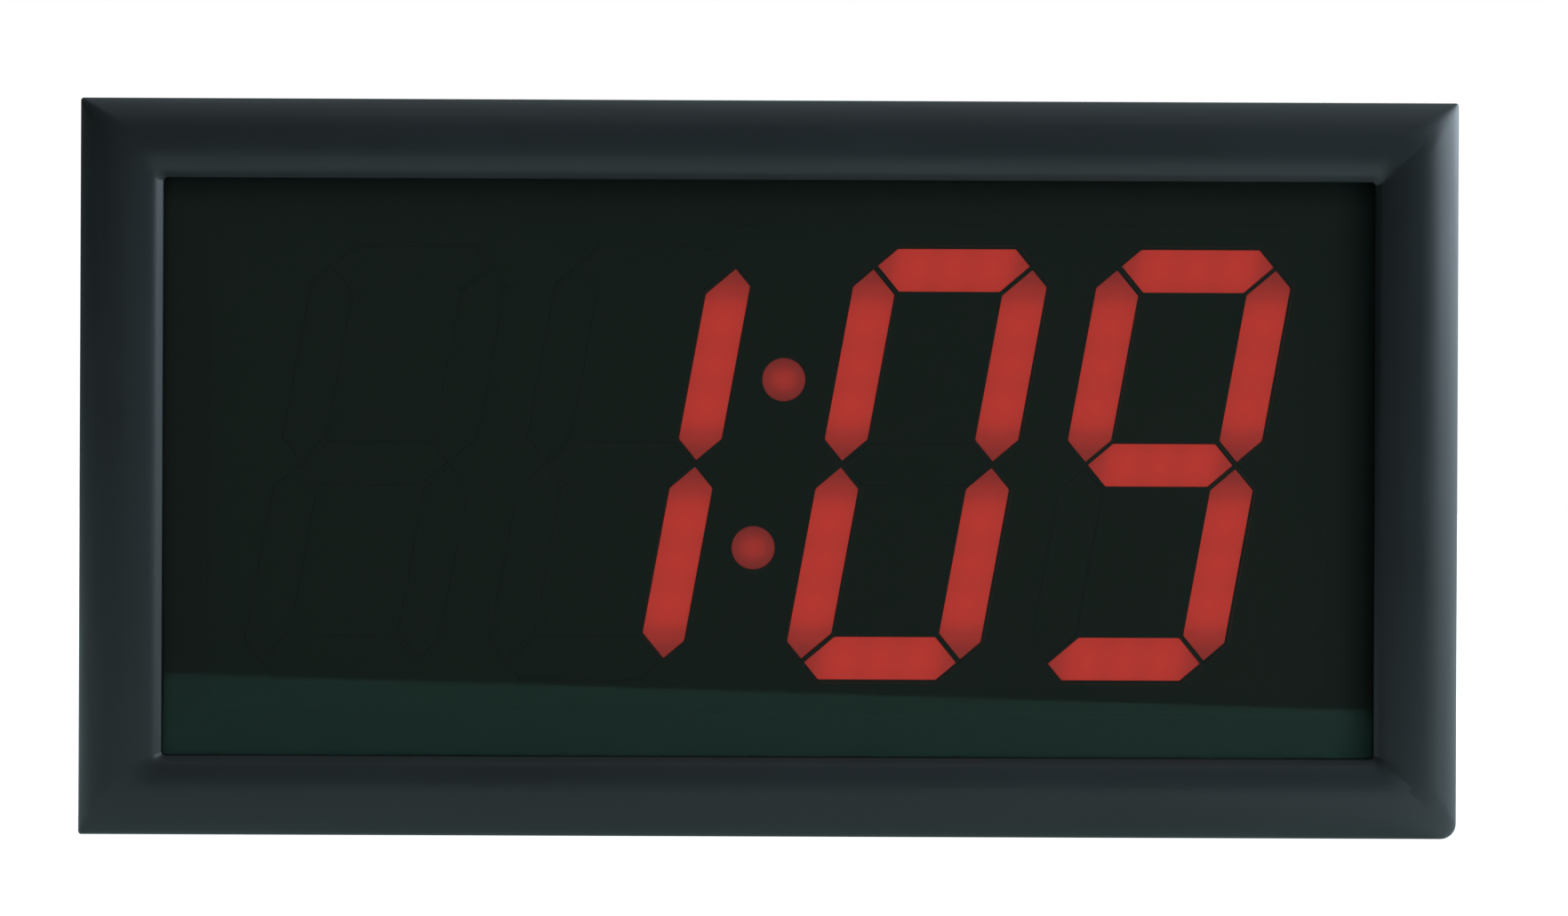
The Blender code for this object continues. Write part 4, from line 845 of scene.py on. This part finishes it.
def case_shell():
    """The tray: inner back face, walls, front rim, and a rounded outer back edge."""
    loops = []

    def ring(inset, radius, depth):
        outline = rectangle(CASE_X - inset, CASE_Z - inset, radius, 6)
        loops.append([at(x, depth, z) for x, z in outline])

    inner_back = CASE_BACK - CASE_WALL
    ring(CASE_WALL + 0.8, 0.5, inner_back)
    ring(CASE_WALL + 0.2, 0.6, inner_back - 0.2)
    ring(CASE_WALL, 0.7, inner_back - 0.8)
    ring(CASE_WALL, 0.7, CASE_FRONT + 0.2)
    ring(CASE_WALL - 0.2, 0.8, CASE_FRONT)
    ring(0.2, CASE_CORNER, CASE_FRONT)
    ring(0.0, CASE_CORNER, CASE_FRONT + 0.2)
    for out, depth in arc((0.0, CASE_BACK - CASE_EDGE), CASE_EDGE, 0, 90, 5):
        ring(CASE_EDGE - out, CASE_CORNER, depth)
    return to_mesh("case", loft(loops))


def keyhole_outline(x, z):
    """A round hole for a screw's head with a narrow slot above it for its shank."""
    spread = math.degrees(math.asin(KEYHOLE_SLOT / KEYHOLE_HEAD))
    points = arc((x, z), KEYHOLE_HEAD, 90 + spread, 450 - spread, 28)
    return points + arc((x, z + KEYHOLE_RISE), KEYHOLE_SLOT, 0, 180, 12)


def back_cutters():
    """The keyholes, the speaker's grille, the wells of the screws, and the blank label recess."""
    start, end = CASE_BACK - 2 * CASE_WALL, CASE_BACK + 2 * CASE_WALL
    cutters = [prism(keyhole_outline(s * KEYHOLE_X, KEYHOLE_Z), start, end) for s in (-1, 1)]
    for k in range(-3, 4):
        x = k * GRILLE_PITCH
        half = math.sqrt(GRILLE_RADIUS**2 - x**2)
        outline = slot_outline(half, GRILLE_SLOT, (x + SPEAKER[0], SPEAKER[1]))
        cutters.append(prism(outline, start, end))
    for x, z in post_places():
        profile = [
            (SCREW_HOLE, -1.0),
            (SCREW_HOLE, WELL_FLOOR - CASE_FRONT),
            (WELL_RADIUS, WELL_FLOOR - CASE_FRONT),
            (WELL_RADIUS, CASE_BACK + 1.0 - CASE_FRONT),
        ]
        cutters.append(turned("well", (x, CASE_FRONT, z), (0, 1, 0), profile, 28))
    x0, x1, z0, z1 = LABEL
    centre = ((x0 + x1) / 2, (z0 + z1) / 2)
    outline = rectangle((x1 - x0) / 2, (z1 - z0) / 2, LABEL_CORNER)
    label = [(x + centre[0], z + centre[1]) for x, z in outline]
    cutters.append(prism(label, CASE_BACK - LABEL_DEPTH, CASE_BACK + 1.0))
    return cutters


def side_cutters():
    """Openings for the controls and the inlet, and the vents along the top."""
    cutters = []

    def through(outline, z, low=WALL_IN - 2.0, high=WALL_OUT + 2.0):
        points = [(CONTROL_DEPTH + y, z + h) for y, h in outline]
        cutters.append(prism(points, low, high, "x"))

    for z in BUTTONS.values():
        through(circle(BUTTON_HOLE), z)
    for z in SLIDERS.values():
        through(rectangle(*SLIDER_HOLE, 0.5), z)
    through(rectangle(*WHEEL_HOLE, 0.6), VOLUME_Z)
    through(rectangle(*ROCKER_HOLE, 0.5), POWER_Z)
    through(rectangle(*PANEL_HALF, 2.0), PANEL_Z, WALL_OUT - PANEL_DEPTH)
    through(circle(JACK_HOLE), JACK_Z, -WALL_OUT - 2.0, -WALL_IN + 2.0)
    for k in range(VENTS):
        x = (k - (VENTS - 1) / 2) * VENT_PITCH
        outline = slot_outline(VENT_HALF, VENT_RADIUS, (x, CONTROL_DEPTH))
        cutters.append(prism(outline, CASE_Z - 5.0, CASE_Z + 2.0, "z"))
    return cutters


def rear_case(finish):
    """The tray with its six screw posts, its openings cut and its edges softened."""
    added = []
    for x, z in post_places():
        added.append(rod((x, CASE_FRONT, z), (x, CASE_BACK - 1.0, z), POST_RADIUS))
    case = combined("rear_case_skin", case_shell(), added, "UNION")
    case = combined("rear_case_skin", case, back_cutters() + side_cutters(), "DIFFERENCE")
    case = softened(case, 0.22)
    piece("rear_case_skin", case, finish, "housing", ["rear_case"], 40)


def button(name, z, finish):
    """A push button with a dished top and rounded rim."""
    base, flange_back, flange_front = 143.6, 154.7, 156.2
    radius = 4.2
    profile = [(1.6, 0.0), (1.6, flange_back - base), (5.8, flange_back - base)]
    profile += [(5.8, flange_front - base), (radius, flange_front - base)]
    rim = 0.7
    profile += arc((radius - rim, CONTROL_TIP - base - rim), rim, 0, 90, 5)
    for out in (2.8, 2.1, 1.4, 0.7, 0.25):
        profile.append((out, CONTROL_TIP - base - 0.45 * (1 - (out / 3.5) ** 2)))
    mesh = turned(name + "_skin", (base, CONTROL_DEPTH, z), (1, 0, 0), profile, 56)
    piece(name + "_skin", mesh, finish, name, [name], 40)


def slider(name, z, finish):
    """A slide switch's cap: cover plate, stem, and a nub with grip ridges."""
    z -= SLIDER_LOW
    near, far = CONTROL_DEPTH - 1.5, CONTROL_DEPTH + 1.5
    base, plate_in, plate_out, stem_in = 155.5, 154.9, 156.1, 142.9
    top = CONTROL_TIP
    outline = [(base, -2.0), (top - 0.5, -2.0), (top, -1.6), (top, -1.2)]
    for middle in (-0.8, 0.0, 0.8):
        outline += [(top - 0.35, middle - 0.15), (top - 0.35, middle + 0.15), (top, middle + 0.4)]
    outline += [(top, 1.6), (top - 0.5, 2.0), (base, 2.0)]
    nub = prism([(x, h + z) for x, h in outline], near, far)
    low, high = (plate_in, CONTROL_DEPTH - 3.5, z - 7), (plate_out, CONTROL_DEPTH + 3.5, z + 7)
    plate = block(low, high, 0.15)
    stem = block((stem_in, CONTROL_DEPTH - 1.2, z - 1.5), (base, CONTROL_DEPTH + 1.2, z + 1.5))
    mesh = combined(name + "_skin", plate, [nub, stem], "UNION")
    mesh = softened(mesh, 0.1, 50)
    piece(name + "_skin", mesh, finish, name, [name], 40)


def volume_wheel(finish):
    """An edge wheel with a knurled rim on its axle."""
    teeth, fine = 40, 6
    count = teeth * fine
    heights = (0.0, 0.6, 1.0, 1.0, 0.6, 0.0)  # one tooth's outline
    axle = 1.9
    loops = []
    centre = (CONTROL_TIP - WHEEL_RADIUS, VOLUME_Z)

    def ring(depth, radius, knurl=0.0):
        loop = []
        for k in range(count):
            angle = 2 * math.pi * k / count
            r = radius - knurl * (1 - heights[k % fine])
            loop.append(at(centre[0] + r * math.cos(angle), depth, centre[1] + r * math.sin(angle)))
        loops.append(loop)

    half = 1.5
    ring(CONTROL_DEPTH - 5.6, axle)
    ring(CONTROL_DEPTH - half, axle)
    ring(CONTROL_DEPTH - half, WHEEL_RADIUS - 0.8)
    ring(CONTROL_DEPTH - half + 0.1, WHEEL_RADIUS - 0.5)
    ring(CONTROL_DEPTH - half + 0.4, WHEEL_RADIUS, 0.3)
    ring(CONTROL_DEPTH + half - 0.4, WHEEL_RADIUS, 0.3)
    ring(CONTROL_DEPTH + half - 0.1, WHEEL_RADIUS - 0.5)
    ring(CONTROL_DEPTH + half, WHEEL_RADIUS - 0.8)
    ring(CONTROL_DEPTH + half, axle)
    ring(CONTROL_DEPTH + 3.0, axle)
    mesh = to_mesh("volume_wheel_skin", loft(loops))
    piece("volume_wheel_skin", mesh, finish, "volume_wheel", ["volume_wheel"], 30)


def power_switch(finish, glossy):
    """The rocker switch's body with its rounded flange, and the rocker with its hollowed face."""
    low = (146.0, CONTROL_DEPTH - 4.9, POWER_Z - 8.2)
    body = block(low, (WALL_OUT + 1.0, CONTROL_DEPTH + 4.9, POWER_Z + 8.2))
    flange = block(
        (WALL_OUT + 0.3, CONTROL_DEPTH - 6.1, POWER_Z - 9.4),
        (WALL_OUT + 1.3, CONTROL_DEPTH + 6.1, POWER_Z + 9.4),
        0.45,
        4,
    )
    blades = []
    for z in (POWER_Z - 4, POWER_Z + 4):
        blades.append(
            block((138.9, CONTROL_DEPTH - 2, z - 0.4), (147.0, CONTROL_DEPTH + 2, z + 0.4))
        )
    body = combined("power_switch_skin", body, [flange, *blades], "UNION")
    outline = [(CONTROL_DEPTH + y, POWER_Z + h) for y, h in rectangle(4.0, 6.9, 0.3, 3)]
    pocket = prism(outline, 150.5, WALL_OUT + 3, "x")
    ends = [(ROCKER_X, CONTROL_DEPTH + s * 4.6, POWER_Z) for s in (-1, 1)]
    body = combined("power_switch_skin", body, [pocket, rod(*ends, 1.3, 24)], "DIFFERENCE")
    piece("power_switch_skin", body, finish, "housing", ["power_switch_body"], 30)
    face = [(3.9 + 1.1 * (k / 8) ** 2, -5.9 * k / 8) for k in range(-8, 9)]
    shape = face + [(0.5, -5.6), (-2.0, -2.5), (-2.0, 2.5), (0.5, 5.6)]
    cos, sin = math.cos(ROCKER_TILT), math.sin(ROCKER_TILT)
    points = [(ROCKER_X + x * cos + z * sin, POWER_Z - x * sin + z * cos) for x, z in shape]
    rocker = prism(points, CONTROL_DEPTH - 3.7, CONTROL_DEPTH + 3.7, round_by=0.3)
    ends = [(ROCKER_X, CONTROL_DEPTH + s * 4.3, POWER_Z) for s in (-1, 1)]
    rocker = combined("power_rocker_skin", rocker, [rod(*ends, 0.9, 24)], "UNION")
    piece("power_rocker_skin", rocker, glossy, "power_rocker", ["power_rocker"], 30)


def inlet(finish, steel):
    """The barrel inlet: body and nose with a bore, and a plated pin in it."""
    inside, mouth = -(WALL_IN - 0.3), -(WALL_OUT + 0.2)
    low = (inside, CONTROL_DEPTH - 4.5, JACK_Z - 5.5)
    body = block(low, (inside + 14, CONTROL_DEPTH + 4.5, JACK_Z + 5.5), 0.3)
    depth = inside + 1.0 - mouth
    profile = [(4.3, 0.0), (4.5, 0.1), (4.6, 0.3), (4.6, depth)]
    nose = turned("nose", (mouth, CONTROL_DEPTH, JACK_Z), (1, 0, 0), profile, 48)
    body = combined("dc_jack_skin", body, [nose], "UNION")
    bore = turned(
        "bore",
        (mouth, CONTROL_DEPTH, JACK_Z),
        (1, 0, 0),
        [(3.8, -1.0), (3.6, 0.0), (3.3, 0.4), (3.3, 9.5)],
        48,
    )
    body = combined("dc_jack_skin", body, [bore], "DIFFERENCE")
    piece("dc_jack_skin", body, finish, "housing", ["dc_jack"], 30)
    profile = [(0.5, 5.0), (0.9, 5.3), (1.0, 5.7), (1.0, 9.6)]
    pin = turned("dc_jack_pin", (mouth, CONTROL_DEPTH, JACK_Z), (1, 0, 0), profile, 32)
    piece("dc_jack_pin", pin, steel, "housing", ["dc_jack"], 30)


def feet(finish):
    for k, side in enumerate((-1, 1), 1):
        base = (side * FOOT_X, FOOT_DEPTH, -HALF_Z)
        profile = [(4.2, 0.0), (4.7, 0.12), (5.0, 0.45), (5.0, 2.5)]
        mesh = turned(f"rubber_foot_{k}_skin", base, (0, 0, 1), profile, 48)
        node = f"rubber_foot_{k}"
        piece(node + "_skin", mesh, finish, "housing", [node], 40)


def case_screws(finish):
    """Pan-head screws with a cross recess, deep in the case's wells."""
    for k, (x, z) in enumerate(post_places(), 1):
        seat = WELL_FLOOR + 0.3
        profile = [(0.3, -20.0), (1.2, -18.8), (1.2, 0.0), (2.7, 0.0), (2.7, 0.7)]
        profile += [(2.5, 1.3), (2.0, 1.75), (1.2, 1.97), (0.4, 2.0)]
        mesh = turned("screw", (x, seat, z), (0, 1, 0), profile, 36)
        bars = []
        for a, b in ((1.5, 0.35), (0.35, 1.5)):
            bars.append(block((x - a, seat + 1.0, z - b), (x + a, seat + 3.0, z + b)))
        cross = combined("cross", bars[0], [bars[1]], "UNION")
        mesh = combined(f"case_screw_{k}_skin", mesh, [cross], "DIFFERENCE")
        node = f"case_screw_{k}"
        piece(node + "_skin", mesh, finish, "housing", [node], 30)


def inner_finishes(steel, black, rubber):
    """Gives the CAD nodes that stay visible a finish by their material's name."""
    finishes = {
        "black_abs": black,
        "black_foam": moulded("foam_black", FOAM_COLOUR, 0.95, 3000, 0.00008, 0.1),
        "mask_green": moulded("mask_green_satin", MASK_COLOUR, 0.6, 2200, 0.00001, 0.2),
        "diffuser_red": moulded("diffuser_unlit", MASK_COLOUR, 0.5, 2200, 0.00001, 0.2),
        "white_abs": moulded("reflector_white", (0.72, 0.72, 0.70), 0.4, 1800, 0.00001),
        "board_green": moulded("board_solder_mask", (0.012, 0.085, 0.034), 0.3, 2400, 0.00001),
        "black_nylon": moulded("nylon_inner", (0.010, 0.010, 0.011), 0.42),
        "grey_abs": moulded("inner_grey", (0.15, 0.155, 0.16), 0.45),
        "zinc_steel": steel,
        "speaker_paper": moulded(
            "speaker_cone_paper", (0.022, 0.020, 0.018), 0.9, 700, 0.0001, 0.2
        ),
        "ferrite": moulded("magnet_ferrite", (0.035, 0.034, 0.034), 0.7, 900, 0.00003),
        "black_rubber": rubber,
        "lead_black": moulded("lead_sleeve", (0.012, 0.012, 0.013), 0.5),
        "ribbon_grey": moulded("ribbon_vinyl", (0.30, 0.31, 0.32), 0.5),
    }
    for node in NODES.values():
        if node.hide_render:
            continue
        for k, held in enumerate(node.data.materials):
            name = held.name.split(".")[0]
            if name in finishes:
                node.data.materials[k] = finishes[name]


def back_and_controls():
    """The case and all that is seen on its sides and back, then the finishes of the CAD nodes."""
    dull_black = (0.0092, 0.0102, 0.0108)
    black = moulded("case_textured_black", dull_black, 0.52, 1500, 0.00003, 0.45, 0.05)
    steel = plated_steel("zinc_plate")
    rubber = moulded("foot_rubber", (0.014, 0.014, 0.014), 0.82, 1200, 0.00004, 0.3)
    nylon = moulded("nylon_black", (0.0085, 0.0085, 0.009), 0.40, 2000, 0.00001)
    glossy = moulded("rocker_glossy_black", (0.006, 0.006, 0.0065), 0.16, 900, 0.000002)
    grey = moulded("slider_grey", (0.17, 0.175, 0.18), 0.42, 1800, 0.00001)
    reset = moulded("button_grey", (0.13, 0.135, 0.14), 0.36, 1800, 0.00001)
    start = moulded("button_red_gloss", (0.40, 0.012, 0.010), 0.30, 1800, 0.000008)
    rear_case(black)
    button("start_button", BUTTONS["start"], start)
    button("reset_button", BUTTONS["reset"], reset)
    slider("round_length_slider", SLIDERS["round_length"], grey)
    slider("rest_length_slider", SLIDERS["rest_length"], grey)
    volume_wheel(nylon)
    power_switch(nylon, glossy)
    inlet(nylon, steel)
    feet(rubber)
    case_screws(steel)
    inner_finishes(steel, black, rubber)


# --- stage ---------------------------------------------------------------------------------------


def stage():
    """A pale floor that ends in front of the timer, as a table does."""
    bm = bmesh.new()
    corners = FLOOR_FRONT + [(FLOOR_SIDE, FLOOR_BACK), (-FLOOR_SIDE, FLOOR_BACK)]
    bm.faces.new([bm.verts.new((x, y, 0)) for x, y in corners])
    mesh = to_mesh("floor", bm)
    floor = bpy.data.objects.new("floor", mesh)
    bpy.context.scene.collection.objects.link(floor)
    mesh.materials.append(floor_paper())


def lamp(name, place, look_at, size, radiance, colour):
    """An area lamp that the camera doesn't see."""
    light = bpy.data.lights.new(name, "AREA")
    light.shape = "RECTANGLE"
    light.size, light.size_y = size
    light.energy = radiance * math.pi * size[0] * size[1]
    light.color = colour
    obj = bpy.data.objects.new(name, light)
    bpy.context.scene.collection.objects.link(obj)
    obj.location = place
    obj.rotation_mode = "QUATERNION"
    obj.rotation_quaternion = (Vector(look_at) - Vector(place)).to_track_quat("-Z", "Y")
    obj.visible_camera = False


def studio():
    """The lamps, and a room that looks white itself but is dark on the left in its light."""
    for values in LAMPS:
        lamp(*values)
    world = bpy.data.worlds.new("room")
    bpy.context.scene.world = world
    world.use_nodes = True
    tree = world.node_tree
    direction = tree.nodes.new("ShaderNodeTexCoord")
    parts = tree.nodes.new("ShaderNodeSeparateXYZ")
    tree.links.new(direction.outputs["Generated"], parts.inputs[0])
    side = tree.nodes.new("ShaderNodeMapRange")
    side.inputs["From Min"].default_value = -1.0
    tree.links.new(parts.outputs["X"], side.inputs["Value"])
    ramp = tree.nodes.new("ShaderNodeValToRGB")
    tree.links.new(side.outputs["Result"], ramp.inputs[0])
    while len(ramp.color_ramp.elements) < len(ROOM):
        ramp.color_ramp.elements.new(0.5)
    for element, (position, level) in zip(ramp.color_ramp.elements, ROOM):
        element.position = position
        across = min(1.0, position / ROOM_TINT_END)
        tint = [a + (b - a) * across for a, b in zip(ROOM_LEFT, ROOM_RIGHT)]
        element.color = (*[level * t for t in tint], 1)
    path = tree.nodes.new("ShaderNodeLightPath")
    mix = tree.nodes.new("ShaderNodeMix")
    mix.data_type = "RGBA"
    tree.links.new(ramp.outputs["Color"], mix.inputs[6])
    mix.inputs[7].default_value = (1.0, 1.0, 1.0, 1)
    tree.links.new(path.outputs["Is Camera Ray"], mix.inputs[0])
    tree.links.new(mix.outputs[2], tree.nodes["Background"].inputs["Color"])


def camera():
    """Nearly straight on, at mid-height, with a slight roll."""
    data = bpy.data.cameras.new("camera")
    data.sensor_width = CAMERA_SENSOR
    data.lens = CAMERA_LENS
    data.clip_start = 0.01
    obj = bpy.data.objects.new("camera", data)
    bpy.context.scene.collection.objects.link(obj)
    forward = Vector((math.sin(CAMERA_YAW), math.cos(CAMERA_YAW), 0))
    right = forward.cross(Vector((0, 0, 1)))
    up = right.cross(forward)
    cos, sin = math.cos(CAMERA_ROLL), math.sin(CAMERA_ROLL)
    rolled_right = right * cos + up * sin
    rolled_up = up * cos - right * sin
    axes = Matrix((rolled_right, rolled_up, -forward)).transposed().to_4x4()
    place = (CAMERA_X, LOW.y - CAMERA_DISTANCE, MIDDLE.z + CAMERA_RISE)
    obj.matrix_world = Matrix.Translation(place) @ axes
    bpy.context.scene.camera = obj


swept_bezel()
window_sheet()
digits()
back_and_controls()
stage()
studio()
camera()
bpy.context.scene.view_settings.view_transform = "Standard"
